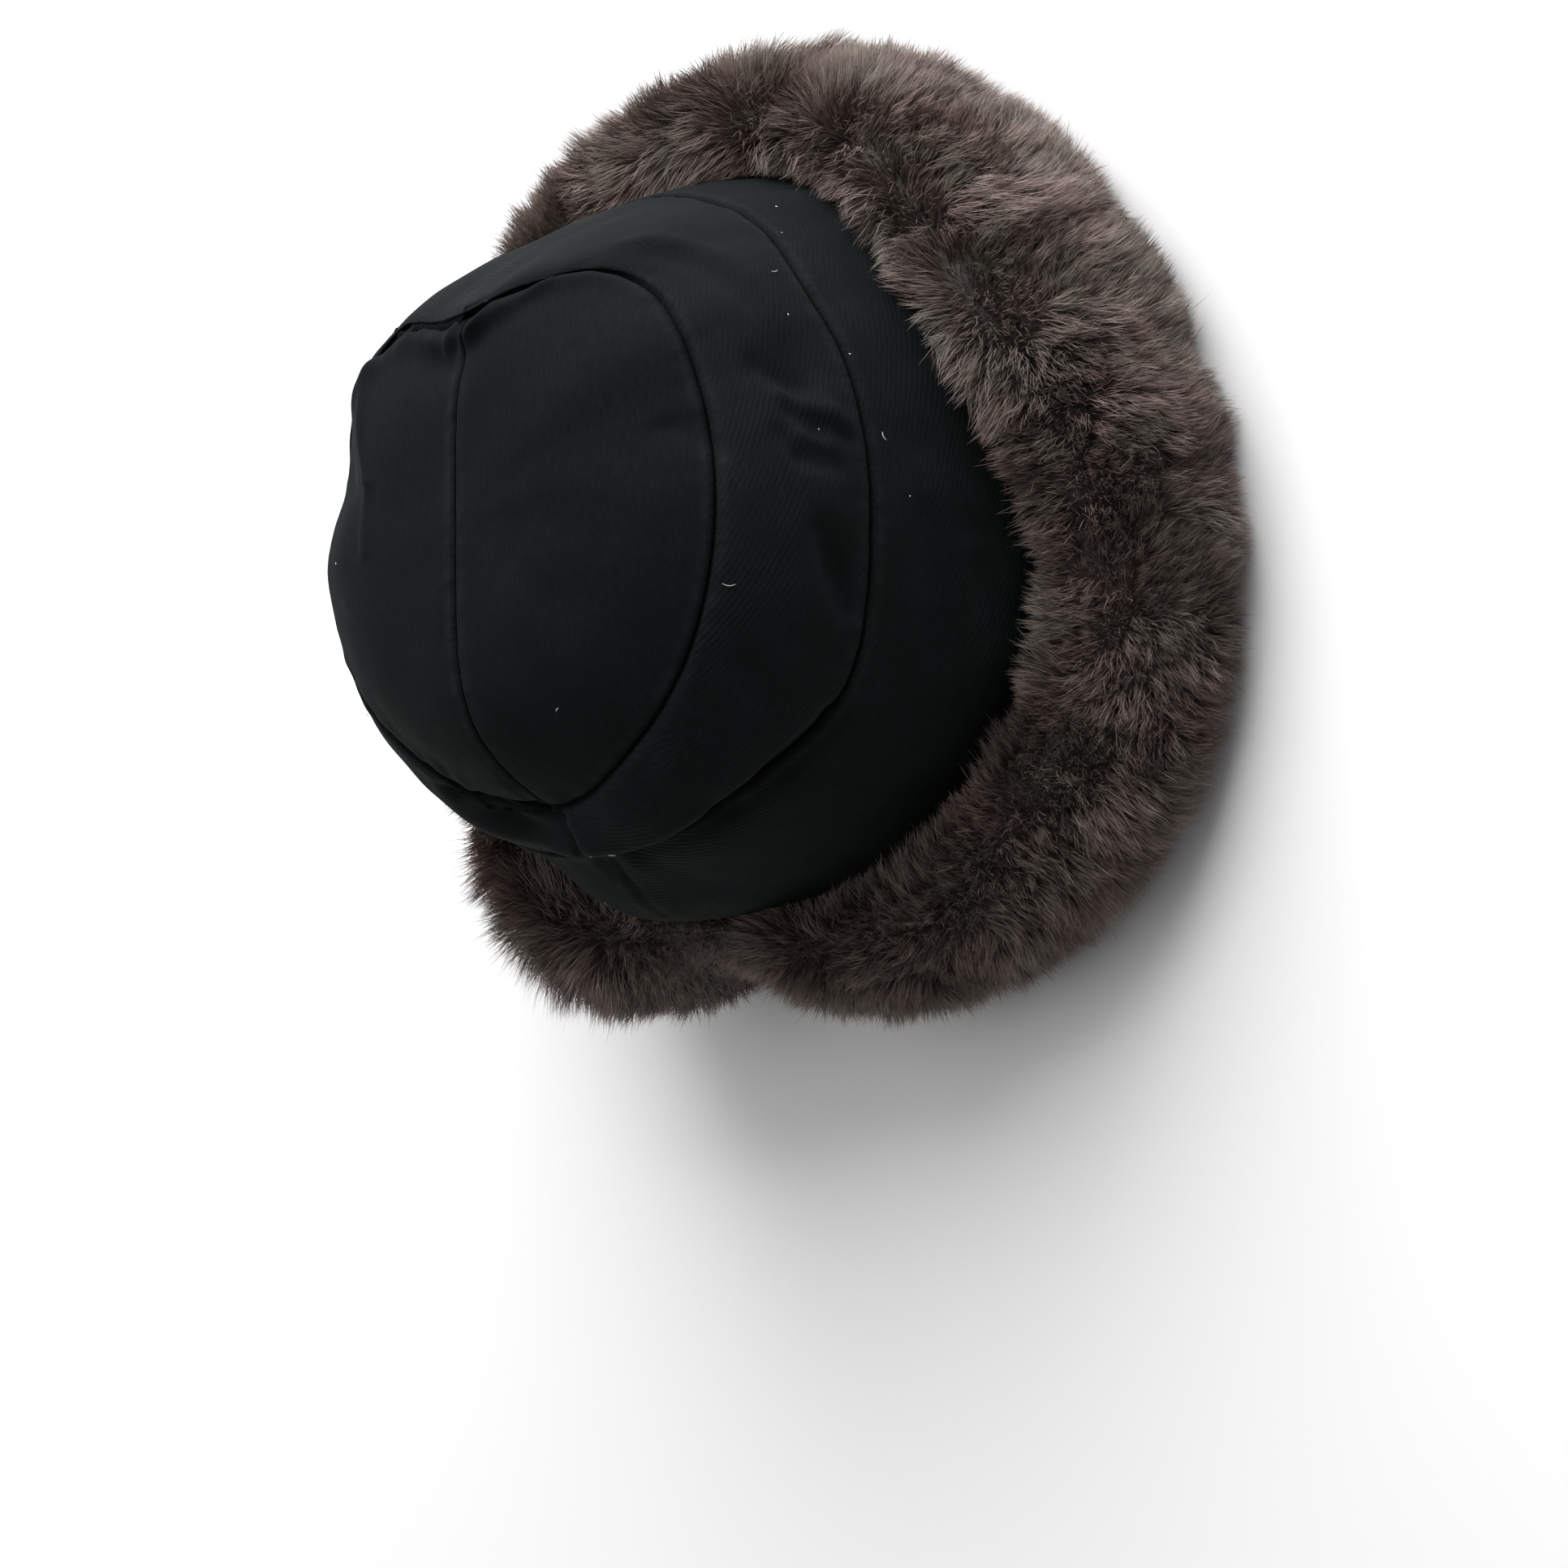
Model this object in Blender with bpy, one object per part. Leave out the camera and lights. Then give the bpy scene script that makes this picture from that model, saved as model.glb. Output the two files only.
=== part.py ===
"""Soft winter hat: a four-panel cloth crown, hollow underneath, and a deep fur brim that it rests on.

Metres, Z up. The front is -Y, the wearer's right is -X. Azimuth 0 is the front, 90 the wearer's right,
180 the back. Every panel is a cloth wall with an outer and an inner face, offset along shared normals.
"""

import math
import random

import bmesh
import bpy
import numpy as np

# Overall sizes
CROWN_HEIGHT = 0.177
TIP_LENGTH = 0.150
TIP_WIDTH = 0.144
MIDDLE_LENGTH = 0.194
MIDDLE_WIDTH = 0.186
CROWN_EDGE_LENGTH = 0.214
CROWN_EDGE_WIDTH = 0.204
CROWN_EDGE_HEIGHT = 0.030
BRIM_LENGTH = 0.286
BRIM_WIDTH = 0.290
BRIM_HEIGHT = 0.062

# Cloth
CLOTH_THICKNESS = 0.0024
SEAM_GAP = 0.0003
UPPER_PUFF = 0.0050
LOWER_PUFF = 0.0035
FOLD_RISE = 0.0075

# Pile
LOCK_LENGTH = 0.024
LOCK_WIDTH = 0.0200
LOCK_SINK = 0.0040
PILE_DEPTH = 0.0090
LOCKS_ROUND = 24
LOCK_SIDES = 5
SEED = 41

AZIMUTHS = 48

# The two seams of the crown by azimuth: shares of the oval's radius and of CROWN_HEIGHT, how round the tip
# runs over its edge (an exponent), and how far the band's fold rises above the tip (share of FOLD_RISE)
CROWN_STATIONS = (
    # azimuth, tip_out, tip_up, tip_round, middle_out, middle_up, fold
    (0, 0.785, 0.971, 6.0, 0.995, 0.522, 0.90),
    (10, 0.89, 0.927, 5.4, 0.98, 0.540, 0.75),
    (20, 1.01, 0.842, 4.8, 0.985, 0.558, 0.45),
    (30, 1.035, 0.803, 4.5, 0.98, 0.572, 0.15),
    (45, 1.04, 0.813, 3.8, 0.985, 0.605, 0.00),
    (60, 0.995, 0.811, 3.2, 0.998, 0.606, 0.00),
    (90, 1.01, 0.838, 2.8, 1.00, 0.612, 0.00),
    (120, 1.00, 0.845, 3.0, 0.99, 0.606, 0.00),
    (150, 1.00, 0.845, 3.6, 0.955, 0.689, 0.00),
    (180, 1.02, 0.795, 4.8, 0.91, 0.715, 0.20),
    (210, 1.03, 0.845, 4.2, 0.97, 0.690, 0.35),
    (240, 1.05, 0.885, 3.6, 1.00, 0.640, 0.10),
    (270, 0.98, 0.900, 3.4, 1.00, 0.605, 0.10),
    (300, 0.95, 0.905, 4.0, 1.01, 0.570, 0.40),
    (330, 0.89, 0.930, 5.0, 1.02, 0.530, 0.90),
    (345, 0.790, 0.956, 5.6, 1.01, 0.524, 0.92),
)

# Dents and soft folds of the bands. Level 1 is the tip's seam, 2 the middle seam, 3 the crown's edge
DENTS = (
    # azimuth, level, depth, azimuth_spread, level_spread
    (62, 1.62, 0.0030, 9, 0.16),
    (72, 1.78, -0.0018, 6, 0.08),
    (76, 1.70, 0.0026, 5, 0.12),
    (97, 1.80, 0.0028, 10, 0.14),
    (140, 1.97, 0.0030, 16, 0.10),
    (100, 2.38, 0.0024, 20, 0.14),
    (112, 2.62, -0.0016, 16, 0.12),
    (187, 2.40, -0.0115, 20, 0.28),
    (192, 1.30, 0.0048, 12, 0.22),
    (176, 1.70, -0.0022, 8, 0.20),
    (350, 0.84, 0.0028, 24, 0.16),
    (282, 1.45, 0.0028, 14, 0.20),
    (283, 1.02, 0.0028, 11, 0.34),
    (307, 1.00, -0.0022, 9, 0.28),
    (263, 1.05, -0.0016, 10, 0.30),
    (318, 1.75, 0.0030, 12, 0.18),
)

# The fur roll by azimuth: shares of the brim's oval radius, and shares of BRIM_HEIGHT for how high its top
# stands, how much its thickest level is raised and how far its underside is lifted off the floor
BRIM_STATIONS = (
    # azimuth, out, top, belly, lift
    (0, 1.03, 1.08, 0.02, 0.00),
    (30, 0.99, 1.32, 0.02, 0.00),
    (52, 0.97, 1.42, 0.00, 0.00),
    (72, 0.975, 1.24, 0.00, 0.00),
    (92, 0.995, 0.96, 0.00, 0.00),
    (120, 1.03, 0.94, 0.00, 0.00),
    (150, 1.02, 1.06, 0.02, 0.00),
    (172, 0.985, 1.12, 0.04, 0.06),
    (187, 0.930, 1.10, 0.06, 0.16),
    (203, 1.06, 1.36, 0.08, 0.26),
    (220, 1.03, 1.42, 0.08, 0.26),
    (250, 1.01, 1.20, 0.04, 0.08),
    (280, 1.01, 1.08, 0.00, 0.00),
    (312, 1.02, 1.26, 0.06, 0.10),
    (338, 1.03, 1.20, 0.05, 0.04),
)

# Section of the fur roll's backing, from the crown's edge round to it again.
# out: 0 at the crown's outer face, 1 at the backing's outermost line. up: share of the roll's top height
BACKING_SECTION = (
    # out, up
    (0.10, 0.93),
    (0.32, 1.00),
    (0.58, 0.97),
    (0.82, 0.80),
    (0.96, 0.58),
    (1.00, 0.40),
    (0.94, 0.20),
    (0.78, 0.05),
    (0.62, 0.00),
    (0.16, 0.00),
)

# Rows of locks: place round the section in shares of the way from its inner top (0) to its outer bottom (1),
# shares of LOCK_LENGTH and LOCK_WIDTH, how far a lock sways along the brim and how high its tip stands
LOCK_ROWS = (
    # place, length, width, lean, rise
    (0.00, 0.72, 0.85, 0.60, 0.30),
    (0.16, 0.92, 1.00, 0.90, 0.16),
    (0.33, 1.00, 1.05, 1.00, 0.10),
    (0.50, 1.00, 1.05, 0.90, 0.08),
    (0.66, 0.95, 1.00, 0.70, 0.08),
    (0.82, 0.70, 0.85, 0.40, 0.04),
)


def clear_scene():
    """Removes every object of the start-up scene."""
    for old in list(bpy.data.objects):
        bpy.data.objects.remove(old, do_unlink=True)


def ring_value(table, column, azimuth):
    """A column of a station table at any azimuth: a closed curve of cubic pieces through the stations."""
    angles = np.array([row[0] for row in table], float)
    values = np.array([row[column] for row in table], float)
    count = len(angles)
    azimuth = np.mod(np.asarray(azimuth, float), 360.0)
    low = np.searchsorted(angles, azimuth, side="right") - 1
    high = (low + 1) % count
    before = (low - 1) % count
    after = (high + 1) % count
    step = np.mod(angles[high] - angles[low], 360.0)
    step_before = np.mod(angles[low] - angles[before], 360.0)
    step_after = np.mod(angles[after] - angles[high], 360.0)
    slope_low = (values[high] - values[before]) / (step + step_before)
    slope_high = (values[after] - values[low]) / (step + step_after)
    share = np.mod(azimuth - angles[low], 360.0) / step
    square = share * share
    cube = square * share
    return (
        (2 * cube - 3 * square + 1) * values[low]
        + (cube - 2 * square + share) * step * slope_low
        + (3 * square - 2 * cube) * values[high]
        + (cube - square) * step * slope_high
    )


def oval_radius(length, width, azimuth):
    """Radius of an oval of that length (front to back) and width at an azimuth in degrees."""
    angle = np.radians(azimuth)
    along = length / 2
    across = width / 2
    return along * across / np.hypot(across * np.cos(angle), along * np.sin(angle))


def bump(value, middle, spread):
    """A smooth bell of height 1."""
    return np.exp(-(((value - middle) / spread) ** 2))


def place(radius, height, azimuth):
    """Points from cylindrical places; azimuth 0 is the front, 90 the wearer's right."""
    angle = np.radians(azimuth)
    return np.stack((-radius * np.sin(angle), -radius * np.cos(angle), height), axis=-1)


def crown_profile(azimuth, level):
    """Radius and height of the crown before dents. Level 0 is the middle of the top, 3 the crown's edge."""
    tip_out = oval_radius(TIP_LENGTH, TIP_WIDTH, azimuth) * ring_value(CROWN_STATIONS, 1, azimuth)
    tip_up = CROWN_HEIGHT * ring_value(CROWN_STATIONS, 2, azimuth)
    roundness = ring_value(CROWN_STATIONS, 3, azimuth)
    middle_out = oval_radius(MIDDLE_LENGTH, MIDDLE_WIDTH, azimuth) * ring_value(CROWN_STATIONS, 4, azimuth)
    middle_up = CROWN_HEIGHT * ring_value(CROWN_STATIONS, 5, azimuth)
    fold = FOLD_RISE * ring_value(CROWN_STATIONS, 6, azimuth)
    edge_out = oval_radius(CROWN_EDGE_LENGTH, CROWN_EDGE_WIDTH, azimuth)
    on_tip = np.clip(level, 0, 1)
    on_upper = np.clip(level - 1, 0, 1)
    on_lower = np.clip(level - 2, 0, 1)
    radius = tip_out * on_tip + (middle_out - tip_out) * on_upper + (edge_out - middle_out) * on_lower
    height = CROWN_HEIGHT - (CROWN_HEIGHT - tip_up) * on_tip**roundness
    height = height + (middle_up - tip_up) * on_upper + (CROWN_EDGE_HEIGHT - middle_up) * on_lower
    upper_puff = UPPER_PUFF * 4 * on_upper * (1 - on_upper)
    lower_puff = LOWER_PUFF * 4 * on_lower * (1 - on_lower) ** 1.5
    radius = radius + (upper_puff + lower_puff) * 0.85
    height = height + upper_puff * 0.55
    rise = fold * bump(on_upper, 0.17, 0.13) * (level > 1)
    return radius - 0.25 * rise, height + rise


def crown_surface(azimuth, level):
    """Points on the crown's outer face, with the dents of the table pushed in along the face's normal."""
    radius, height = crown_profile(azimuth, level)
    step = 0.01
    radius_on, height_on = crown_profile(azimuth, level + step)
    radius_back, height_back = crown_profile(azimuth, np.maximum(level - step, 0.0))
    run = radius_on - radius_back
    drop = height_back - height_on
    size = np.maximum(np.hypot(run, drop), 1e-9)
    for middle, at, depth, azimuth_spread, level_spread in DENTS:
        turn = np.mod(azimuth - middle + 180.0, 360.0) - 180.0
        push = depth * bump(turn, 0.0, azimuth_spread) * bump(level, at, level_spread)
        radius = radius - push * drop / size
        height = height - push * run / size
    return place(radius, height, azimuth)


def crown_normals(azimuth, level):
    """Outward normals of the crown, the same on both sides of a seam."""
    turn = 1.5
    step = 0.03
    along = crown_surface(azimuth + turn, level) - crown_surface(azimuth - turn, level)
    down = crown_surface(azimuth, np.minimum(level + step, 3.0)) - crown_surface(azimuth, np.maximum(level - step, 0.02))
    normal = np.cross(along, down)
    normal = normal / np.maximum(np.linalg.norm(normal, axis=-1, keepdims=True), 1e-12)
    outward = crown_surface(azimuth, level) - np.array((0.0, 0.0, CROWN_EDGE_HEIGHT))
    return normal * np.sign(np.sum(normal * outward, axis=-1, keepdims=True))


def finish_object(name, mesh_data, color, roughness):
    """Makes one named object with its own material from a bmesh, with its faces turned outwards."""
    bmesh.ops.remove_doubles(mesh_data, verts=mesh_data.verts, dist=1e-6)
    bmesh.ops.recalc_face_normals(mesh_data, faces=mesh_data.faces)
    mesh = bpy.data.meshes.new(name)
    mesh_data.to_mesh(mesh)
    mesh_data.free()
    part = bpy.data.objects.new(name, mesh)
    bpy.context.scene.collection.objects.link(part)
    material = bpy.data.materials.new(name + "_material")
    material.use_nodes = True
    shader = material.node_tree.nodes["Principled BSDF"]
    shader.inputs["Base Color"].default_value = color
    shader.inputs["Roughness"].default_value = roughness
    mesh.materials.append(material)
    return part


def add_grid(mesh_data, points, closed):
    """Adds a grid of points (rows, columns, 3) and its quads. Returns the vertices by row."""
    rows = [[mesh_data.verts.new(point) for point in row] for row in points]
    columns = len(rows[0])
    last = columns if closed else columns - 1
    for upper, lower in zip(rows, rows[1:]):
        for column in range(last):
            nxt = (column + 1) % columns
            mesh_data.faces.new((upper[column], upper[nxt], lower[nxt], lower[column]))
    return rows


def join_edges(mesh_data, first, second, closed):
    """Closes the wall between two rows of vertices that run beside each other.

    Its triangles lean the same way everywhere, so that two walls that face each other stay apart."""
    count = len(first)
    last = count if closed else count - 1
    for column in range(last):
        nxt = (column + 1) % count
        mesh_data.faces.new((first[column], second[column], second[nxt]))
        mesh_data.faces.new((first[column], second[nxt], first[nxt]))


def band(name, levels, color):
    """A closed ring of cloth between two levels of the crown, half a seam gap short at each seam."""
    azimuth = np.arange(AZIMUTHS) * 360.0 / AZIMUTHS
    azimuth_grid, level_grid = np.meshgrid(azimuth, np.array(levels))
    outer = crown_surface(azimuth_grid, level_grid)
    normals = crown_normals(azimuth_grid, level_grid)
    inner = outer - CLOTH_THICKNESS * normals
    for face in (outer, inner):
        for row, beside in ((0, 1), (-1, -2)):
            into = outer[beside] - outer[row]
            into = into - np.sum(into * normals[row], axis=-1, keepdims=True) * normals[row]
            into = into / np.linalg.norm(into, axis=-1, keepdims=True)
            if row == 0 or levels[-1] < 3.0:
                face[row] = face[row] + into * SEAM_GAP / 2
    mesh_data = bmesh.new()
    outer_rows = add_grid(mesh_data, outer, True)
    inner_rows = add_grid(mesh_data, inner, True)
    join_edges(mesh_data, outer_rows[0], inner_rows[0], True)
    join_edges(mesh_data, outer_rows[-1], inner_rows[-1], True)
    return finish_object(name, mesh_data, color, 0.9)


def tip_panel(name, side, levels, color):
    """Half of the oval tip: a fan of cloth from the middle to the seam, cut straight along the centre seam.

    side is 1 for the wearer's right and -1 for the left."""
    half = AZIMUTHS // 2
    azimuth = np.arange(half + 1) * 360.0 / AZIMUTHS + (0.0 if side > 0 else 180.0)
    azimuth_grid, level_grid = np.meshgrid(azimuth, np.array(levels[1:]))
    outer = crown_surface(azimuth_grid, level_grid)
    normals = crown_normals(azimuth_grid, level_grid)
    inner = outer - CLOTH_THICKNESS * normals
    for face in (outer, inner):
        into = outer[-2] - outer[-1]
        into = into - np.sum(into * normals[-1], axis=-1, keepdims=True) * normals[-1]
        into = into / np.linalg.norm(into, axis=-1, keepdims=True)
        face[-1] = face[-1] + into * SEAM_GAP / 2
        face[..., 0] = -side * np.maximum(-side * face[..., 0], SEAM_GAP / 2)
    top = np.array((-side * SEAM_GAP / 2, 0.0, CROWN_HEIGHT))
    mesh_data = bmesh.new()
    outer_rows = add_grid(mesh_data, outer, False)
    inner_rows = add_grid(mesh_data, inner, False)
    outer_top = mesh_data.verts.new(top)
    inner_top = mesh_data.verts.new(top - np.array((0.0, 0.0, CLOTH_THICKNESS)))
    for vertex, row in ((outer_top, outer_rows[0]), (inner_top, inner_rows[0])):
        for column in range(half):
            mesh_data.faces.new((vertex, row[column], row[column + 1]))
    join_edges(mesh_data, outer_rows[-1], inner_rows[-1], False)
    for column in (0, half):
        outer_edge = [outer_top] + [row[column] for row in outer_rows]
        inner_edge = [inner_top] + [row[column] for row in inner_rows]
        join_edges(mesh_data, outer_edge, inner_edge, False)
    return finish_object(name, mesh_data, color, 0.9)


def brim_section(azimuth):
    """Points of the backing's section at each azimuth: (points of the section, azimuths, 3).

    The first and last points hug the crown's outer face and pass under its edge."""
    crown_out = oval_radius(CROWN_EDGE_LENGTH, CROWN_EDGE_WIDTH, azimuth)
    outline = oval_radius(BRIM_LENGTH, BRIM_WIDTH, azimuth) * ring_value(BRIM_STATIONS, 1, azimuth)
    backing_out = outline - PILE_DEPTH
    top = BRIM_HEIGHT * ring_value(BRIM_STATIONS, 2, azimuth) - 0.5 * PILE_DEPTH
    belly = ring_value(BRIM_STATIONS, 3, azimuth)
    lift = np.maximum(BRIM_HEIGHT * ring_value(BRIM_STATIONS, 4, azimuth), 0.0)
    rows = []
    for out, up in BACKING_SECTION:
        raised = up + belly * math.sin(math.pi * up)
        level = lift * min(1.0, out * 1.4) + (top - lift * min(1.0, out * 1.4)) * raised
        rows.append(place(crown_out + (backing_out - crown_out) * out, level, azimuth))
    inside = []
    for level in (3.0, 2.86, 2.72):
        levels = np.full_like(azimuth, level)
        face = crown_surface(azimuth, levels)
        inside.append(face + SEAM_GAP * crown_normals(azimuth, levels))
    edge = crown_surface(azimuth, np.full_like(azimuth, 3.0))
    edge_normals = crown_normals(azimuth, np.full_like(azimuth, 3.0))
    under_out = inside[0] - np.array((0.0, 0.0, SEAM_GAP))
    under_in = edge - edge_normals * CLOTH_THICKNESS - np.array((0.0, 0.0, SEAM_GAP))
    low_in = under_in.copy()
    low_in[..., 2] = CROWN_EDGE_HEIGHT * 0.25
    return np.array([inside[2]] + rows + [low_in, under_in, under_out, inside[1]])


def section_walk(azimuth_deg, share):
    """A point on the pile side of the backing and the section's outward direction there.

    share runs from the inner top (0) to the outer bottom (1)."""
    azimuth = np.array([azimuth_deg])
    section = brim_section(azimuth)[1:9, 0]
    steps = np.linalg.norm(np.diff(section, axis=0), axis=1)
    travelled = np.concatenate(((0.0,), np.cumsum(steps)))
    at = share * travelled[-1]
    low = min(int(np.searchsorted(travelled, at, side="right")) - 1, len(steps) - 1)
    within = (at - travelled[low]) / steps[low]
    point = section[low] * (1 - within) + section[low + 1] * within
    before = section[max(low - 1, 0)]
    after = section[min(low + 2, len(section) - 1)]
    along = after - before
    along = along / np.linalg.norm(along)
    ring = place(np.array([1.0]), np.array([0.0]), azimuth + 90.0)[0]
    outward = np.cross(ring, along)
    outward = outward / np.linalg.norm(outward)
    middle = section.mean(axis=0)
    if np.dot(outward, point - middle) < 0:
        outward = -outward
    return point, outward, ring, along


def add_lock(mesh_data, root, outward, flow, length, width, rise):
    """One tapered lock: a flat-bellied closed horn that leaves the backing and bends over along the flow.

    rise is how high its tip stands over its root, as a share of its length."""
    across = np.cross(flow, outward)
    across = across / np.linalg.norm(across)
    rings = []
    for share, wide, thick in ((0.0, 0.80, 0.60), (0.45, 1.00, 0.50)):
        bend = math.sin(0.5 * math.pi * share)
        middle = root + flow * length * share + outward * (LOCK_SINK + rise * length) * bend
        ring = []
        for side in range(LOCK_SIDES):
            angle = 0.5 * math.pi + 2 * math.pi * side / LOCK_SIDES
            offset = across * math.cos(angle) * wide + outward * math.sin(angle) * thick
            ring.append(mesh_data.verts.new(middle + offset * width * 0.5))
        rings.append(ring)
    point = mesh_data.verts.new(root + flow * length + outward * (LOCK_SINK + rise * length))
    mesh_data.faces.new(list(reversed(rings[0])))
    join_edges(mesh_data, rings[0], rings[1], True)
    for side in range(LOCK_SIDES):
        mesh_data.faces.new((rings[1][side], point, rings[1][(side + 1) % LOCK_SIDES]))


def fur_locks():
    """All locks of the brim in one object, in staggered rows over the backing. Their roots sink into it."""
    chooser = random.Random(SEED)
    mesh_data = bmesh.new()
    for number, (share, long, wide, lean, rise) in enumerate(LOCK_ROWS):
        for index in range(LOCKS_ROUND):
            jitter = chooser.uniform(-0.22, 0.22)
            azimuth = (index + 0.5 * (number % 2) + jitter) * 360.0 / LOCKS_ROUND
            point, outward, ring, along = section_walk(azimuth, min(max(share + chooser.uniform(-0.025, 0.025), 0.0), 1.0))
            length = LOCK_LENGTH * long * chooser.uniform(0.85, 1.15)
            width = LOCK_WIDTH * wide * chooser.uniform(0.85, 1.15)
            sway = lean * math.sin(math.radians(azimuth * 4 + 60 * number)) + chooser.uniform(-0.35, 0.35)
            flow = along + ring * sway
            flow = flow / np.linalg.norm(flow)
            root = point - outward * LOCK_SINK
            add_lock(mesh_data, root, outward, flow, length, width, rise * chooser.uniform(0.8, 1.2))
    bmesh.ops.recalc_face_normals(mesh_data, faces=mesh_data.faces)
    mesh = bpy.data.meshes.new("locks")
    mesh_data.to_mesh(mesh)
    mesh_data.free()
    locks = bpy.data.objects.new("locks", mesh)
    bpy.context.scene.collection.objects.link(locks)
    return locks


def cut_to_floor_and_crown(locks):
    """Planes every lock off above the floor, so that the brim's flat underside stays its lowest face."""
    low = 0.0006
    for vertex in locks.data.vertices:
        vertex.co.z = max(vertex.co.z, low)


def fur_brim(color):
    """The fur roll: a ring of backing with the locks fused to it, flat underneath where it rests."""
    azimuth = np.arange(AZIMUTHS) * 360.0 / AZIMUTHS
    mesh_data = bmesh.new()
    rows = add_grid(mesh_data, brim_section(azimuth), True)
    join_edges(mesh_data, rows[-1], rows[0], True)
    brim = finish_object("fur_brim", mesh_data, color, 1.0)
    locks = fur_locks()
    cut_to_floor_and_crown(locks)
    fuse = brim.modifiers.new("fuse", "BOOLEAN")
    fuse.operation = "UNION"
    fuse.solver = "EXACT"
    fuse.use_self = True
    fuse.object = locks
    bpy.context.view_layer.update()
    fused = bpy.data.meshes.new_from_object(brim.evaluated_get(bpy.context.evaluated_depsgraph_get()))
    brim.modifiers.clear()
    brim.data = fused
    bpy.data.objects.remove(locks, do_unlink=True)
    return brim


def build():
    """Builds the five pieces."""
    clear_scene()
    cloth = (0.010, 0.012, 0.013, 1.0)
    fur = (0.095, 0.068, 0.060, 1.0)
    tip_levels = (0.0, 0.25, 0.48, 0.66, 0.79, 0.89, 0.96, 1.0)
    tip_panel("tip_panel_right", 1, tip_levels, cloth)
    tip_panel("tip_panel_left", -1, tip_levels, cloth)
    band("upper_band", (1.0, 1.08, 1.17, 1.28, 1.42, 1.58, 1.74, 1.88, 2.0), cloth)
    band("lower_band", (2.0, 2.12, 2.26, 2.42, 2.58, 2.72, 2.86, 3.0), cloth)
    fur_brim(fur)


build()
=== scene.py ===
"""Looks of the fur-brimmed winter hat: sewn crown of ribbed cloth, deep fur roll, plain stage and soft light.

Metres, Z up. The front is -Y and the wearer's right is -X. Azimuth 0 is the front, 90 the wearer's right and
180 the back. The crown's level runs from 0 at the middle of its top over its three seams' levels: 1 at the tip's
seam, 2 at the middle seam and 3 at the edge inside the fur.
"""

import logging
import math
from dataclasses import dataclass, field

import bmesh
import bpy
import numpy as np
from mathutils import Matrix, Vector


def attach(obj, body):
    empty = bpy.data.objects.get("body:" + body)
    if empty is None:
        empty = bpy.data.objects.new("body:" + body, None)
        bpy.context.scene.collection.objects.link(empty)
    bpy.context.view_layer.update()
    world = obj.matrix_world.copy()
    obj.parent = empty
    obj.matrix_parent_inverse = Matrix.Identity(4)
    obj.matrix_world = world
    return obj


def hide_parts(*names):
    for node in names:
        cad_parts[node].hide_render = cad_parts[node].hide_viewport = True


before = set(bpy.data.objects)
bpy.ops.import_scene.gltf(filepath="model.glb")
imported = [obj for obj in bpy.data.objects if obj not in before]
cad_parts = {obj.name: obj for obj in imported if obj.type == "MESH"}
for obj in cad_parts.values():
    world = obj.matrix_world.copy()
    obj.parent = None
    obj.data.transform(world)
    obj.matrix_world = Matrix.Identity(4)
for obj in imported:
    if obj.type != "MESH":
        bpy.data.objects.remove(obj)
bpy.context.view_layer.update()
log = logging.getLogger("fur_hat")

# Short names for the types that most signatures hold
Array = np.ndarray
Material = bpy.types.Material
Piece = bpy.types.Object
Node = bpy.types.Node
Socket = bpy.types.NodeSocket
Tree = bpy.types.NodeTree
Groups = dict[str, Tree]
Colour = tuple[float, float, float, float]

# Seams of the crown by azimuth, as in the part's source: shares of the oval's radius and of the crown's height,
# how round the tip runs over its edge, and how far the band's fold rises above the tip
CROWN_STATIONS = np.array((
    # azimuth, tip_out, tip_up, tip_round, middle_out, middle_up, fold
    (0, 0.785, 0.971, 6.0, 0.995, 0.522, 0.90),
    (10, 0.89, 0.927, 5.4, 0.98, 0.540, 0.75),
    (20, 1.01, 0.842, 4.8, 0.985, 0.558, 0.45),
    (30, 1.035, 0.803, 4.5, 0.98, 0.572, 0.15),
    (45, 1.04, 0.813, 3.8, 0.985, 0.605, 0.00),
    (60, 0.995, 0.811, 3.2, 0.998, 0.606, 0.00),
    (90, 1.01, 0.838, 2.8, 1.00, 0.612, 0.00),
    (120, 1.00, 0.845, 3.0, 0.99, 0.606, 0.00),
    (150, 1.00, 0.845, 3.6, 0.955, 0.689, 0.00),
    (180, 1.02, 0.795, 4.8, 0.91, 0.715, 0.20),
    (210, 1.03, 0.845, 4.2, 0.97, 0.690, 0.35),
    (240, 1.05, 0.885, 3.6, 1.00, 0.640, 0.10),
    (270, 0.98, 0.900, 3.4, 1.00, 0.605, 0.10),
    (300, 0.95, 0.905, 4.0, 1.01, 0.570, 0.40),
    (330, 0.89, 0.930, 5.0, 1.02, 0.530, 0.90),
    (345, 0.790, 0.956, 5.6, 1.01, 0.524, 0.92),
))

# Dents and soft folds of the bands, as in the part's source
CROWN_DENTS = (
    # azimuth, level, depth, azimuth_spread, level_spread
    (62, 1.62, 0.0030, 9, 0.16),
    (72, 1.78, -0.0018, 6, 0.08),
    (76, 1.70, 0.0026, 5, 0.12),
    (97, 1.80, 0.0028, 10, 0.14),
    (140, 1.97, 0.0030, 16, 0.10),
    (100, 2.38, 0.0024, 20, 0.14),
    (112, 2.62, -0.0016, 16, 0.12),
    (187, 2.40, -0.0115, 20, 0.28),
    (192, 1.30, 0.0048, 12, 0.22),
    (176, 1.70, -0.0022, 8, 0.20),
    (350, 0.84, 0.0028, 24, 0.16),
    (282, 1.45, 0.0028, 14, 0.20),
    (283, 1.02, 0.0028, 11, 0.34),
    (307, 1.00, -0.0022, 9, 0.28),
    (263, 1.05, -0.0016, 10, 0.30),
    (318, 1.75, 0.0030, 12, 0.18),
)

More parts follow.
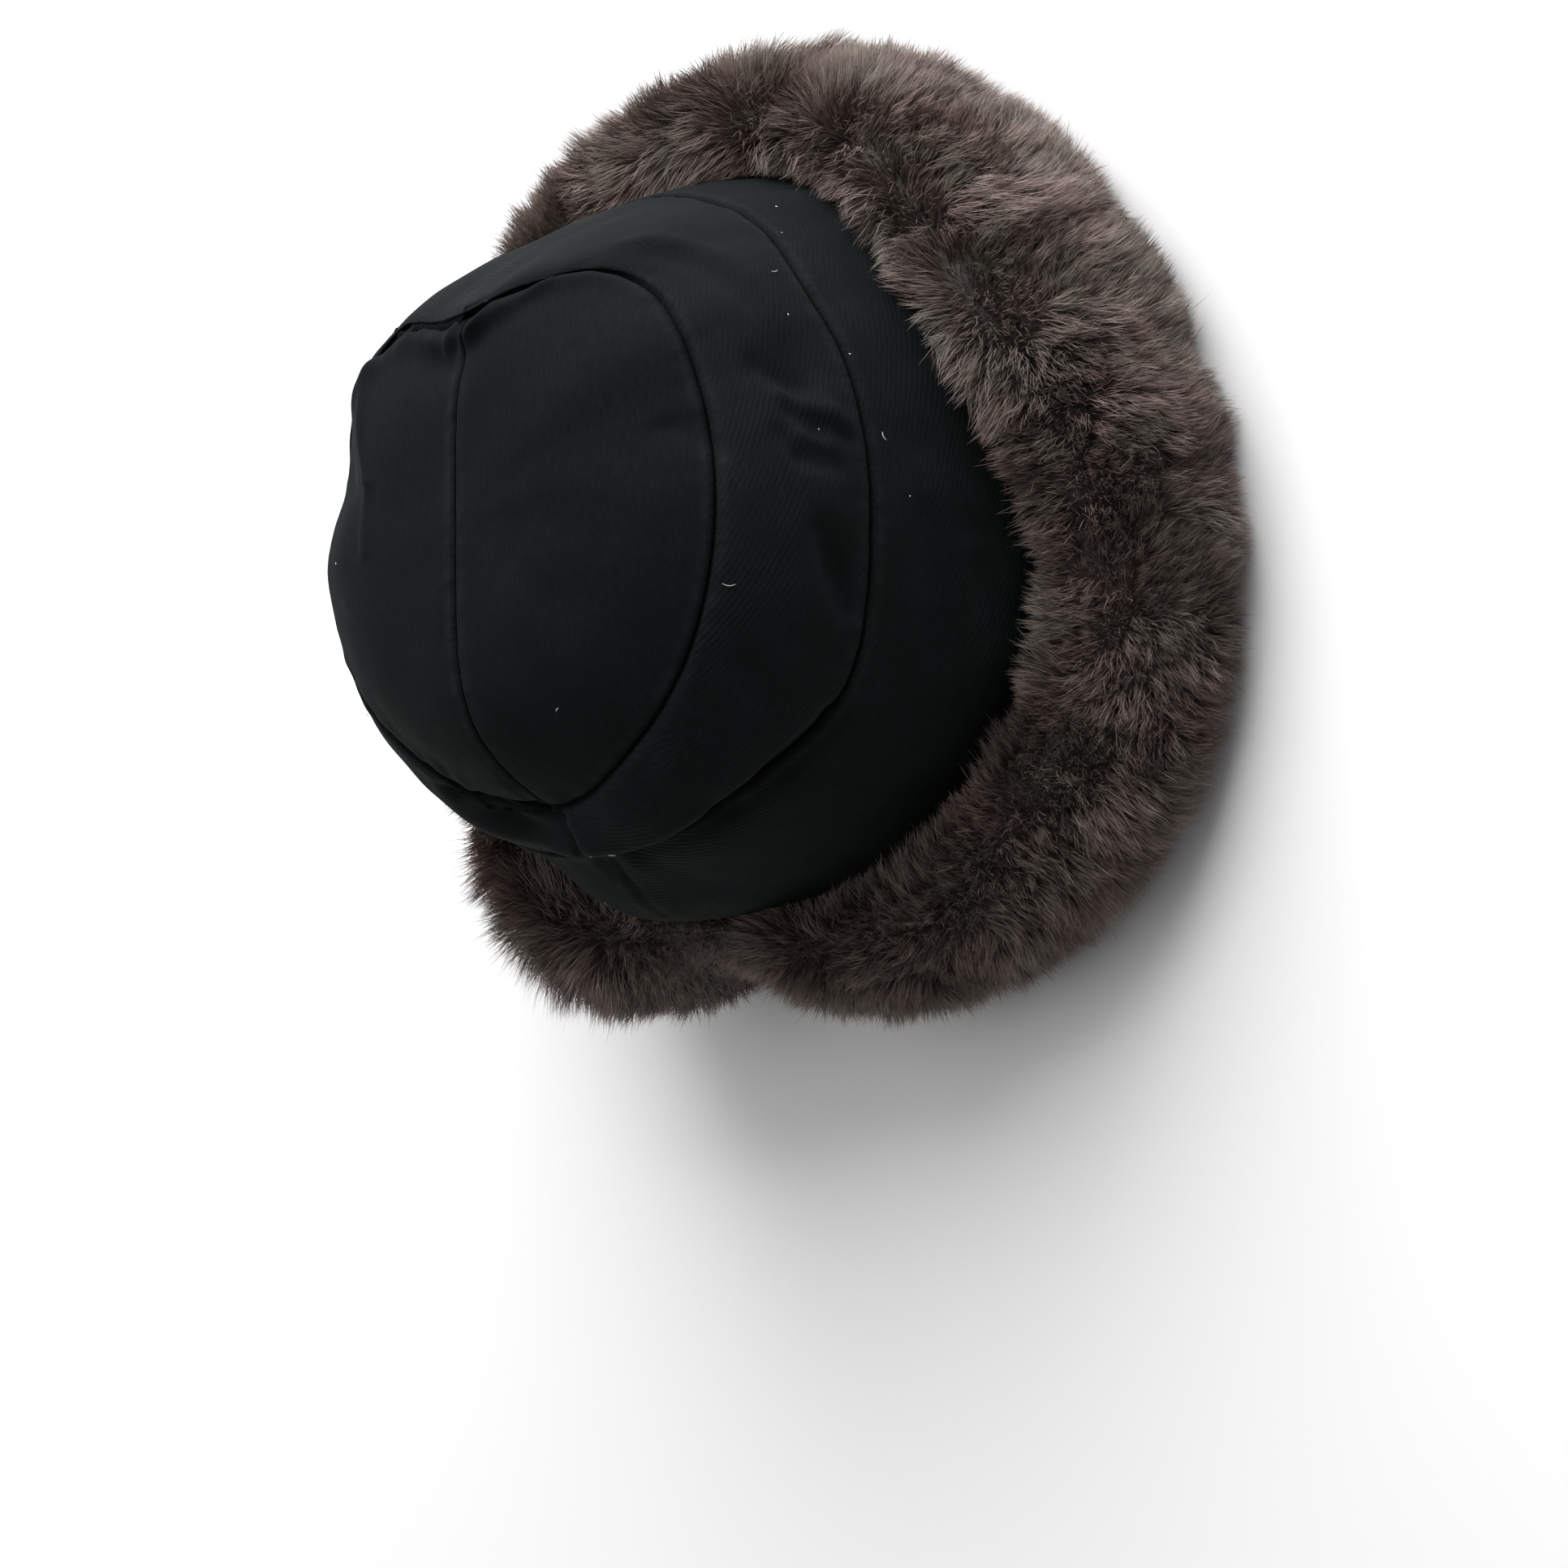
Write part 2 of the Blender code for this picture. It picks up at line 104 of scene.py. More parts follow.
# Creases of the worn cloth, each a line over the crown: sunk where depth is above zero and raised where below
CREASES = (
    # azimuth, level, to_azimuth, to_level, depth, width
    (59, 1.38, 65, 1.60, 0.0017, 0.0040),
    (65, 1.50, 73, 1.90, -0.0012, 0.0028),
    (69, 1.52, 75, 1.88, 0.0014, 0.0028),
    (73, 1.42, 78, 1.52, 0.0011, 0.0028),
    (78, 1.54, 80, 1.80, 0.0013, 0.0028),
    (74, 1.55, 76, 1.76, -0.0010, 0.0018),
    (91, 1.66, 104, 1.88, 0.0023, 0.0045),
    (80, 2.24, 93, 2.42, -0.0009, 0.0032),
    (93, 2.42, 111, 2.52, -0.0012, 0.0036),
    (88, 2.24, 110, 2.34, 0.0012, 0.0045),
    (316, 0.96, 290, 0.60, -0.0008, 0.0020),
    (290, 0.60, 262, 0.56, -0.0007, 0.0020),
    (310, 1.10, 284, 0.78, 0.0010, 0.0045),
    (206, 1.20, 196, 1.05, 0.0026, 0.0034),
    (196, 1.05, 183, 1.04, 0.0028, 0.0030),
    (183, 1.04, 177, 1.14, 0.0016, 0.0026),
    (199, 0.97, 184, 0.92, -0.0010, 0.0026),
    (124, 1.99, 148, 1.97, 0.0020, 0.0042),
    (148, 1.97, 171, 2.00, 0.0030, 0.0042),
    (171, 2.00, 180, 2.06, 0.0016, 0.0030),
    (150, 1.78, 168, 1.80, -0.0012, 0.0050),
    (4, 0.90, 19, 0.95, -0.0011, 0.0026),
    (352, 0.86, 357, 0.97, -0.0008, 0.0016),
    (356, 0.86, 1, 0.97, 0.0008, 0.0014),
    (1, 0.87, 6, 0.97, -0.0008, 0.0016),
    (66, 0.92, 74, 1.05, 0.0013, 0.0032),
    (70, 0.30, 83, 0.94, -0.0006, 0.0040),
    (120, 0.55, 158, 0.80, 0.0006, 0.0060),
    (20, 1.30, 40, 1.62, -0.0008, 0.0040),
    (26, 1.26, 46, 1.50, 0.0009, 0.0040),
    (118, 1.30, 128, 1.80, 0.0008, 0.0050),
    (200, 2.20, 206, 2.70, 0.0016, 0.0060),
    (236, 1.20, 246, 1.85, 0.0014, 0.0050),
    (262, 1.25, 256, 1.75, -0.0010, 0.0050),
    (300, 2.15, 308, 2.60, 0.0012, 0.0055),
)

# The back seams of the two bands, as lines over the crown
BACK_SEAMS = (
    # azimuth, level, to_azimuth, to_level
    (177, 1.00, 176, 2.00),
    (177, 2.00, 185, 2.60),
    (185, 2.60, 186, 3.00),
)

# Specks, fibres and thread ends on the cloth: where they lie, how long, which way they turn in degrees and how pale
LINT = (
    # azimuth, level, length, turn, tone
    (344, 0.87, 0.0006, 0, 0.9),
    (22, 2.15, 0.0007, 40, 0.9),
    (51, 1.74, 0.0006, 0, 0.9),
    (60, 2.02, 0.0006, 80, 0.9),
    (85, 2.15, 0.0005, 0, 0.8),
    (73, 1.70, 0.0005, 20, 0.5),
    (30, 2.05, 0.0005, 20, 0.5),
    (23, 0.96, 0.0024, 50, 0.35),
    (41, 1.82, 0.0026, 100, 0.5),
    (75, 2.07, 0.0026, 20, 0.6),
    (102, 1.12, 0.0038, 95, 0.3),
    (149, 0.78, 0.0016, 10, 0.4),
    (178, 1.95, 0.0040, 75, 0.8),
    (174, 1.98, 0.0030, 120, 0.8),
    (190, 2.27, 0.0026, 80, 0.2),
    (232, 1.16, 0.0024, 30, 0.8),
    (300, 1.40, 0.0020, 60, 0.7),
    (262, 0.80, 0.0006, 0, 0.8),
    (330, 2.20, 0.0022, 140, 0.6),
    (215, 1.70, 0.0006, 0, 0.7),
)

# The fur roll by azimuth, as in the part's source: shares of the brim's oval radius, and shares of its height for
# its top, for its thickest level and for how far its underside is lifted off the floor
BRIM_STATIONS = np.array((
    # azimuth, out, top, belly, lift
    (0, 1.03, 1.08, 0.02, 0.00),
    (30, 0.99, 1.32, 0.02, 0.00),
    (52, 0.97, 1.42, 0.00, 0.00),
    (72, 0.975, 1.24, 0.00, 0.00),
    (92, 0.995, 0.96, 0.00, 0.00),
    (120, 1.03, 0.94, 0.00, 0.00),
    (150, 1.02, 1.06, 0.02, 0.00),
    (172, 0.985, 1.12, 0.04, 0.06),
    (187, 0.930, 1.10, 0.06, 0.16),
    (203, 1.06, 1.36, 0.08, 0.26),
    (220, 1.03, 1.42, 0.08, 0.26),
    (250, 1.01, 1.20, 0.04, 0.08),
    (280, 1.01, 1.08, 0.00, 0.00),
    (312, 1.02, 1.26, 0.06, 0.10),
    (338, 1.03, 1.20, 0.05, 0.04),
))

# How long the pile stands round the brim, as a share of its usual length: pressed at the join, fluffed out beside it.
# inner is its share of that next to the crown
PILE_STATIONS = np.array((
    # azimuth, length, inner
    (0, 1.14, 0.50),
    (40, 1.02, 0.50),
    (80, 1.00, 0.50),
    (120, 1.00, 0.50),
    (142, 0.95, 0.30),
    (160, 0.98, 0.75),
    (174, 1.00, 1.10),
    (184, 0.80, 1.00),
    (193, 0.32, 0.60),
    (200, 1.00, 0.50),
    (212, 1.74, 0.50),
    (228, 1.40, 0.50),
    (260, 1.05, 0.50),
    (320, 1.10, 0.50),
    (342, 1.26, 0.50),
))

# Section of the fur roll, from the crown round to it again. out: 0 at the crown's outer face, 1 at the outermost line
ROLL_SECTION = np.array((
    # out, up
    (0.05, 0.66),
    (0.08, 0.84),
    (0.16, 0.95),
    (0.34, 1.00),
    (0.58, 0.97),
    (0.82, 0.80),
    (0.96, 0.58),
    (1.00, 0.40),
    (0.94, 0.20),
    (0.78, 0.05),
    (0.62, 0.00),
    (0.36, 0.00),
    (0.10, 0.00),
))


def ring_value(table: Array, column: int, azimuth: Array) -> Array:
    """A column of a station table at any azimuth: cubic pieces through the stations, closed round the ring.

    Each piece is the Hermite cubic whose end slopes are (next value - previous value) / (their angle apart).

    Args:
        table: rows of stations, azimuth in degrees first.
        column: which column to read.
        azimuth: degrees, any shape.

    Returns:
        The values, in the shape of azimuth.
    """
    angles = table[:, 0]
    values = table[:, column]
    count = len(angles)
    azimuth = np.mod(np.asarray(azimuth, float), 360.0)
    low = np.searchsorted(angles, azimuth, side="right") - 1
    high = (low + 1) % count
    before = (low - 1) % count
    after = (high + 1) % count
    step = np.mod(angles[high] - angles[low], 360.0)
    step_before = np.mod(angles[low] - angles[before], 360.0)
    step_after = np.mod(angles[after] - angles[high], 360.0)
    slope_low = (values[high] - values[before]) / (step + step_before)
    slope_high = (values[after] - values[low]) / (step + step_after)
    share = np.mod(azimuth - angles[low], 360.0) / step
    square = share * share
    cube = square * share
    return (
        (2 * cube - 3 * square + 1) * values[low]
        + (cube - 2 * square + share) * step * slope_low
        + (3 * square - 2 * cube) * values[high]
        + (cube - square) * step * slope_high
    )


def oval_radius(length: float, width: float, azimuth: Array) -> Array:
    """Radius of an oval at an azimuth: a*b / hypot(b*cos, a*sin), with a and b its half length and half width."""
    angle = np.radians(azimuth)
    along = length / 2
    across = width / 2
    return along * across / np.hypot(across * np.cos(angle), along * np.sin(angle))


def bell(value: Array, middle: float, spread: float) -> Array:
    """A smooth bell of height 1: exp(-((value - middle) / spread) squared)."""
    return np.exp(-(((value - middle) / spread) ** 2))


def ease(value: Array) -> Array:
    """Smooth step from 0 to 1: 3v squared - 2v cubed, with v held between 0 and 1."""
    held = np.clip(value, 0.0, 1.0)
    return held * held * (3 - 2 * held)


def turn_from(first: float, azimuth: Array) -> Array:
    """Degrees from one azimuth to others, between -180 and 180."""
    return np.mod(azimuth - first + 180.0, 360.0) - 180.0


def place(radius: Array, height: Array, azimuth: Array) -> Array:
    """Points (-r sin, -r cos, height) from cylindrical places, azimuth in degrees."""
    angle = np.radians(azimuth)
    return np.stack((-radius * np.sin(angle), -radius * np.cos(angle), height + 0 * angle), axis=-1)


def unit(vectors: Array) -> Array:
    """Vectors divided by their own lengths."""
    return vectors / np.maximum(np.linalg.norm(vectors, axis=-1, keepdims=True), 1e-12)


def pair(first: Array, second: Array) -> Array:
    """Map coordinates from their two parts, each stretched to the other's shape."""
    return np.stack(np.broadcast_arrays(first, second), axis=-1)


class SoftNoise:
    """Smooth random values in space: random numbers at the corners of a cubic lattice, eased between corners."""

    def __init__(self, seed: int, size: int = 40) -> None:
        """Draws the lattice's random numbers from a seed of its own."""
        self.size = size
        self.values = np.random.default_rng(seed).uniform(-1.0, 1.0, (size, size, size))

    def at(self, points: Array, scale: float) -> Array:
        """Values between -1 and 1 at points.

        The eight corners of a point's cell are mixed by their eased shares along the three axes.

        Args:
            points: places in metres, last axis 3.
            scale: size of a lattice cell in metres.

        Returns:
            One value for each point.
        """
        spot = points / scale + 500.0
        cell = np.floor(spot).astype(int)
        share = ease(spot - cell)
        total = np.zeros(points.shape[:-1])
        for corner in range(8):
            step = np.array((corner & 1, corner >> 1 & 1, corner >> 2 & 1))
            weight = np.prod(np.where(step == 1, share, 1 - share), axis=-1)
            index = np.mod(cell + step, self.size)
            total += weight * self.values[index[..., 0], index[..., 1], index[..., 2]]
        return total

    def layered(self, points: Array, scale: float, layers: int = 3) -> Array:
        """Sum of noises, each at half the size and half the height of the one before."""
        total = np.zeros(points.shape[:-1])
        for layer in range(layers):
            total += self.at(points, scale / 2**layer) / 2**layer
        return total


@dataclass
class Patchwork:
    """Grids and edge strips of one piece, gathered as arrays and then put into one mesh."""

    points: list[Array] = field(default_factory=list)
    faces: list[Array] = field(default_factory=list)
    maps: dict[str, list[Array]] = field(default_factory=dict)
    count: int = 0

    def add_points(self, points: Array) -> Array:
        """Adds points of any shape (..., 3). Returns their numbers in the same shape."""
        shape = points.shape[:-1]
        number = int(np.prod(shape))
        self.points.append(points.reshape(-1, 3))
        index = np.arange(self.count, self.count + number).reshape(shape)
        self.count += number
        return index

    def add_faces(self, faces: Array, maps: dict[str, Array]) -> None:
        """Adds faces (n, corners) with each map's coordinates at their corners (n, corners, 2)."""
        self.faces.append(faces)
        for name, coordinates in maps.items():
            self.maps.setdefault(name, []).append(coordinates.reshape(-1, 2))

    def add_grid(self, index: Array, maps: dict[str, Array], closed: bool) -> None:
        """Adds the quads of a grid of point numbers.

        A quad takes the corners (row, column), (row, column + 1), (row + 1, column + 1) and (row + 1, column). A
        closed grid's last column joins its first one, and its maps have one more column than it has.

        Args:
            index: point numbers (rows, columns).
            maps: coordinates for each name (rows, columns or columns + 1, 2).
            closed: whether the grid runs right round.
        """
        wide = np.concatenate((index, index[:, :1]), axis=1) if closed else index
        quads = np.stack((wide[:-1, :-1], wide[:-1, 1:], wide[1:, 1:], wide[1:, :-1]), axis=-1).reshape(-1, 4)
        corners = {
            name: np.stack((m[:-1, :-1], m[:-1, 1:], m[1:, 1:], m[1:, :-1]), axis=2).reshape(-1, 4, 2)
            for name, m in maps.items()
        }
        self.add_faces(quads, corners)

    def add_wall(self, fine: Array, coarse: Array, maps: dict[str, Array], closed: bool) -> None:
        """Closes the wall between a row of points and one beside it with half as many steps.

        Step k of the coarse row faces steps 2k and 2k + 1 of the fine one, which gives three triangles.

        Args:
            fine: point numbers of the fine row.
            coarse: point numbers of the row with half as many steps.
            maps: coordinates for each name along the fine row, which the whole wall takes.
            closed: whether both rows run right round.
        """
        if closed:
            fine = np.append(fine, fine[0])
            coarse = np.append(coarse, coarse[0])
        a, b, c = fine[0:-1:2], fine[1::2], fine[2::2]
        low, high = coarse[:-1], coarse[1:]
        faces = np.concatenate((np.stack((a, b, low), -1), np.stack((b, c, high), -1), np.stack((b, high, low), -1)))
        corners = {}
        for name, m in maps.items():
            first, second, third = m[0:-1:2], m[1::2], m[2::2]
            triangles = ((first, second, first), (second, third, third), (second, third, first))
            corners[name] = np.concatenate([np.stack(triangle, 1) for triangle in triangles])
        self.add_faces(faces, corners)

    def build(self, name: str, material: Material, closed_body: bool = True) -> Piece:
        """Makes the piece's object.

        Args:
            name: the piece's name.
            material: its finish.
            closed_body: whether the faces close a body, whose faces are then all turned outwards.

        Returns:
            The new object, at the origin.
        """
        points = np.concatenate(self.points)
        sizes = np.concatenate([np.full(len(f), f.shape[1]) for f in self.faces])
        corners = np.concatenate([f.ravel() for f in self.faces])
        mesh = bpy.data.meshes.new(name)
        mesh.vertices.add(len(points))
        mesh.vertices.foreach_set("co", points.ravel())
        mesh.loops.add(len(corners))
        mesh.loops.foreach_set("vertex_index", corners)
        mesh.polygons.add(len(sizes))
        mesh.polygons.foreach_set("loop_start", np.concatenate(((0,), np.cumsum(sizes)[:-1])))
        for map_name, coordinates in self.maps.items():
            layer = mesh.uv_layers.new(name=map_name)
            layer.uv.foreach_set("vector", np.concatenate(coordinates).ravel())
        mesh.update(calc_edges=True)
        mesh.validate()
        if closed_body:
            body = bmesh.new()
            body.from_mesh(mesh)
            bmesh.ops.recalc_face_normals(body, faces=body.faces)
            body.to_mesh(mesh)
            body.free()
        mesh.shade_smooth()
        mesh.materials.append(material)
        return show(name, mesh)


def show(name: str, data: bpy.types.ID) -> Piece:
    """A new object in the scene, at the origin, from its mesh, light or camera."""
    made = bpy.data.objects.new(name, data)
    bpy.context.scene.collection.objects.link(made)
    return made


def report(piece: Piece) -> Piece:
    """Logs a finished piece with its number of triangles, and returns it."""
    corners = np.empty(len(piece.data.polygons), dtype=np.int32)
    piece.data.polygons.foreach_get("loop_total", corners)
    log.info("%s: %d triangles", piece.name, int((corners - 2).sum()))
    return piece


class NodeDesk:
    """Short calls for placing and joining the nodes of one tree."""

    def __init__(self, tree: Tree) -> None:
        """Keeps the tree that the nodes go into."""
        self.tree = tree

    def add(self, kind: str, settings: dict | None = None, **inputs: object) -> Node:
        """Adds a node.

        Args:
            kind: the node's type name.
            settings: attributes of the node itself.
            inputs: its sockets by name, spaces written as underscores; a socket joins, anything else is a value.

        Returns:
            The new node.
        """
        node = self.tree.nodes.new(kind)
        for name, value in (settings or {}).items():
            setattr(node, name, value)
        for name, value in inputs.items():
            self.put(node, name.replace("_", " "), value)
        return node

    def put(self, node: Node, socket: str | int, value: object) -> None:
        """Joins an output to a node's socket, or sets the socket's value."""
        target = node.inputs[socket]
        if isinstance(value, Socket):
            self.tree.links.new(value, target)
        else:
            target.default_value = value

    def math(self, operation: str, a: object, b: object = 0.0, c: object = 0.0) -> Socket:
        """A Math node's result from one to three numbers or sockets."""
        node = self.add("ShaderNodeMath", {"operation": operation})
        for number, value in enumerate((a, b, c)):
            self.put(node, number, value)
        return node.outputs[0]

    def mix(self, share: object, a: object, b: object, blend: str = "MIX") -> Socket:
        """A colour mixed from a to b by a share."""
        node = self.add("ShaderNodeMix", {"data_type": "RGBA", "blend_type": blend})
        self.put(node, 0, share)
        self.put(node, 6, a)
        self.put(node, 7, b)
        return node.outputs[2]

    def noise(self, vector: object, scale: float, detail: float = 3.0, roughness: float = 0.5) -> Socket:
        """A Noise Texture's value on a vector, around 0.5."""
        node = self.add("ShaderNodeTexNoise", None, Vector=vector, Scale=scale, Detail=detail, Roughness=roughness)
        return node.outputs[0]

    def stretch(self, vector: object, scale: tuple[float, float, float]) -> Socket:
        """A vector scaled by axis."""
        return self.add("ShaderNodeMapping", None, Vector=vector, Scale=scale).outputs[0]

    def grey(self, value: object) -> Socket:
        """A grey of one value in all three channels."""
        return self.add("ShaderNodeCombineXYZ", None, X=value, Y=value, Z=value).outputs[0]

    def map(self, name: str) -> Socket:
        """A map of the piece's own by name."""
        return self.add("ShaderNodeUVMap", {"uv_map": name}).outputs[0]

    def parts(self, vector: object) -> bpy.types.bpy_prop_collection:
        """A vector's three parts."""
        return self.add("ShaderNodeSeparateXYZ", None, Vector=vector).outputs

    def spread(self, value: object, low: float, high: float, to_low: float, to_high: float) -> Socket:
        """A value carried from one range to another, held at its ends."""
        node = self.add("ShaderNodeMapRange", {"clamp": True})
        for number, item in enumerate((value, low, high, to_low, to_high)):
            self.put(node, number, item)
        return node.outputs[0]


def group_desk(name: str, inputs: dict[str, str], outputs: dict[str, str]) -> tuple[Tree, NodeDesk, Node, Node]:
    """Starts a shader node group.

    Args:
        name: the group's name.
        inputs: its input sockets and their types.
        outputs: its output sockets and their types.

    Returns:
        The group, a desk for its tree, its input node and its output node.
    """
    tree = bpy.data.node_groups.new(name, "ShaderNodeTree")
    for socket, kind in inputs.items():
        tree.interface.new_socket(socket, in_out="INPUT", socket_type=kind)
    for socket, kind in outputs.items():
        tree.interface.new_socket(socket, in_out="OUTPUT", socket_type=kind)
    desk = NodeDesk(tree)
    return tree, desk, desk.add("NodeGroupInput"), desk.add("NodeGroupOutput")


def dress(name: str) -> tuple[Material, NodeDesk, Node]:
    """Starts a material. Returns it, a desk for its tree and its Principled shader."""
    made = bpy.data.materials.new(name)
    made.use_nodes = True
    return made, NodeDesk(made.node_tree), made.node_tree.nodes["Principled BSDF"]


def ribbed_weave() -> Tree:
    """Group of the crown's cloth: fine ribs with a nap that breaks them up, worn lighter in patches.

    The ribs are a sine wave across their direction, bent by noise; they raise the height and also lighten the colour
    on their crests, a painted shading of the rib relief. The nap is noise drawn out along the ribs.
    """
    value, vector, colour = "NodeSocketFloat", "NodeSocketVector", "NodeSocketColor"
    tree, desk, start, end = group_desk(
        "ribbed_weave",
        {
            "Cloth": vector, "Rib Spacing": value, "Rib Angle": value, "Rib Strength": value,
            "Dark": colour, "Light": colour,
        },
        {"Color": colour, "Roughness": value, "Height": value},
    )
    cloth = start.outputs["Cloth"]
    turn = {"rotation_type": "Z_AXIS"}
    turned = desk.add("ShaderNodeVectorRotate", turn, Vector=cloth, Angle=start.outputs["Rib Angle"]).outputs[0]
    bend = desk.noise(cloth, 90.0, 2.0)
    across = desk.math("ADD", desk.parts(turned)[1], desk.math("MULTIPLY", bend, 0.0016))
    phase = desk.math("DIVIDE", desk.math("MULTIPLY", across, 2 * math.pi), start.outputs["Rib Spacing"])
    ribs = desk.math("SINE", phase)
    nap = desk.noise(desk.stretch(turned, (260.0, 1500.0, 1.0)), 1.0, 3.0, 0.6)
    patches = desk.noise(cloth, 70.0, 4.0, 0.6)
    broad = desk.noise(cloth, 22.0, 2.0, 0.5)
    worn = desk.spread(desk.noise(cloth, 34.0, 2.0), 0.38, 0.60, 0.15, 1.0)
    shown = desk.math("MULTIPLY", start.outputs["Rib Strength"], worn)
    rib_share = desk.math("MULTIPLY", desk.math("MULTIPLY_ADD", ribs, 0.5, 0.5), shown)
    # Rib crests painted lighter, a painted shading of the rib relief; the nap adds the cloth's own tone
    light = desk.math("ADD", desk.math("MULTIPLY", rib_share, 0.22), desk.math("MULTIPLY", nap, 0.62))
    light = desk.math("MULTIPLY", light, desk.spread(patches, 0.30, 0.70, 0.65, 1.25))
    light = desk.math("MULTIPLY", light, desk.spread(broad, 0.30, 0.70, 0.75, 1.15))
    desk.put(end, "Color", desk.mix(light, start.outputs["Dark"], start.outputs["Light"]))
    desk.put(end, "Roughness", desk.spread(patches, 0.30, 0.70, 0.78, 0.95))
    height = desk.math("ADD", desk.math("MULTIPLY", rib_share, 0.00034), desk.math("MULTIPLY", nap, 0.00026))
    desk.put(end, "Height", height)
    return tree


def seam_wear_and_shade() -> Tree:
    """Group of a sewn seam's edge: painted shade in the seam's groove, tiny puckers across it and a rubbed rise beside
    it.

    Seam is a vector of metres along the seam and metres away from it. The puckers are noise along the seam that
    fades with distance.
    """
    value, vector = "NodeSocketFloat", "NodeSocketVector"
    tree, desk, start, end = group_desk("seam_wear_and_shade", {"Seam": vector}, {"Shade": value, "Rub": value, "Height": value})
    parts = desk.parts(start.outputs["Seam"])
    along, away = parts[0], parts[1]
    fade = desk.spread(away, 0.0006, 0.0040, 1.0, 0.0)
    flat = desk.add("ShaderNodeCombineXYZ", None, X=along, Y=desk.math("MULTIPLY", away, 0.25), Z=0.0).outputs[0]
    pucker = desk.noise(flat, 420.0, 2.0, 0.5)
    # Shade is painted shade: a quarter of the colour in the seam's groove, back to full 0.8 mm from the seam
    desk.put(end, "Shade", desk.spread(away, 0.0002, 0.0008, 0.25, 1.0))
    rub_start = desk.spread(away, 0.0012, 0.0022, 0.0, 1.0)
    rub = desk.math("MULTIPLY", rub_start, desk.spread(away, 0.0026, 0.0050, 1.0, 0.0))
    desk.put(end, "Rub", desk.math("MULTIPLY", rub, desk.spread(pucker, 0.35, 0.65, 0.2, 1.0)))
    desk.put(end, "Height", desk.math("MULTIPLY", desk.math("MULTIPLY", pucker, fade), 0.0006))
    return tree


def pile_tone() -> Tree:
    """Group of the pile's colour along a strand: dark at the root, paler and greyer towards the tip.

    Strand is a vector whose first part is the strand's own tone and whose second runs from root to tip. Place is a
    point in metres, whose noise gives the pile its warm and cool patches.
    """
    value, vector, colour = "NodeSocketFloat", "NodeSocketVector", "NodeSocketColor"
    tree, desk, start, end = group_desk(
        "pile_tone",
        {
            "Strand": vector, "Place": vector, "Root": colour, "Middle": colour, "Tip": colour,
            "Warm": colour, "Cool": colour,
        },
        {"Color": colour, "Roughness": value},
    )
    parts = desk.parts(start.outputs["Strand"])
    tone, along = parts[0], parts[1]
    lower = desk.mix(desk.spread(along, 0.10, 0.55, 0.0, 1.0), start.outputs["Root"], start.outputs["Middle"])
    whole = desk.mix(desk.spread(along, 0.55, 1.00, 0.0, 1.0), lower, start.outputs["Tip"])
    cast = desk.spread(desk.noise(start.outputs["Place"], 48.0, 3.0, 0.6), 0.36, 0.64, 0.0, 1.0)
    tinted = desk.mix(1.0, whole, desk.mix(cast, start.outputs["Cool"], start.outputs["Warm"]), "MULTIPLY")
    shade = desk.grey(desk.spread(tone, 0.0, 1.0, 0.62, 1.38))
    desk.put(end, "Color", desk.mix(1.0, tinted, shade, "MULTIPLY"))
    desk.put(end, "Roughness", desk.spread(tone, 0.0, 1.0, 0.60, 0.42))
    return tree


@dataclass(frozen=True)
class ClothFinish:
    """Matt near-black ribbed cloth."""

    dark: Colour = (0.0012, 0.0017, 0.0018, 1.0)
    light: Colour = (0.0100, 0.0132, 0.0142, 1.0)
    rib_spacing: float = 0.0016
    rib_angle: float = 0.42
    rib_strength: float = 0.45
    rubbed: Colour = (0.050, 0.055, 0.055, 1.0)
    rub_share: float = 0.06
    bump_strength: float = 0.8
    sheen: float = 0.015
    sheen_tint: Colour = (0.75, 0.86, 0.9, 1.0)

    def material(self, name: str, groups: Groups) -> Material:
        """The cloth's material on the piece's own maps.

        Args:
            name: the material's name.
            groups: the shared node groups by name.

        Returns:
            The new material.
        """
        made, desk, shader = dress(name)
        weave = desk.add(
            "ShaderNodeGroup", {"node_tree": groups["ribbed_weave"]}, Cloth=desk.map("Cloth"), Dark=self.dark,
            Light=self.light, Rib_Spacing=self.rib_spacing, Rib_Angle=self.rib_angle, Rib_Strength=self.rib_strength,
        )
        seam_rub_and_shade = desk.add("ShaderNodeGroup", {"node_tree": groups["seam_wear_and_shade"]}, Seam=desk.map("Seam"))
        share = desk.math("MULTIPLY", seam_rub_and_shade.outputs["Rub"], self.rub_share)
        rubbed = desk.mix(share, weave.outputs["Color"], self.rubbed)
        # The seam group's Shade multiplies painted shade into the colour along each seam's groove
        desk.put(shader, "Base Color", desk.mix(1.0, rubbed, desk.grey(seam_rub_and_shade.outputs["Shade"]), "MULTIPLY"))
        desk.put(shader, "Roughness", weave.outputs["Roughness"])
        height = desk.math("ADD", weave.outputs["Height"], seam_rub_and_shade.outputs["Height"])
        bump = desk.add("ShaderNodeBump", None, Strength=self.bump_strength, Distance=1.0, Height=height)
        desk.put(shader, "Normal", bump.outputs[0])
        shader.inputs["Specular IOR Level"].default_value = 0.06
        shader.inputs["Sheen Weight"].default_value = self.sheen
        shader.inputs["Sheen Roughness"].default_value = 0.5
        shader.inputs["Sheen Tint"].default_value = self.sheen_tint
        return made


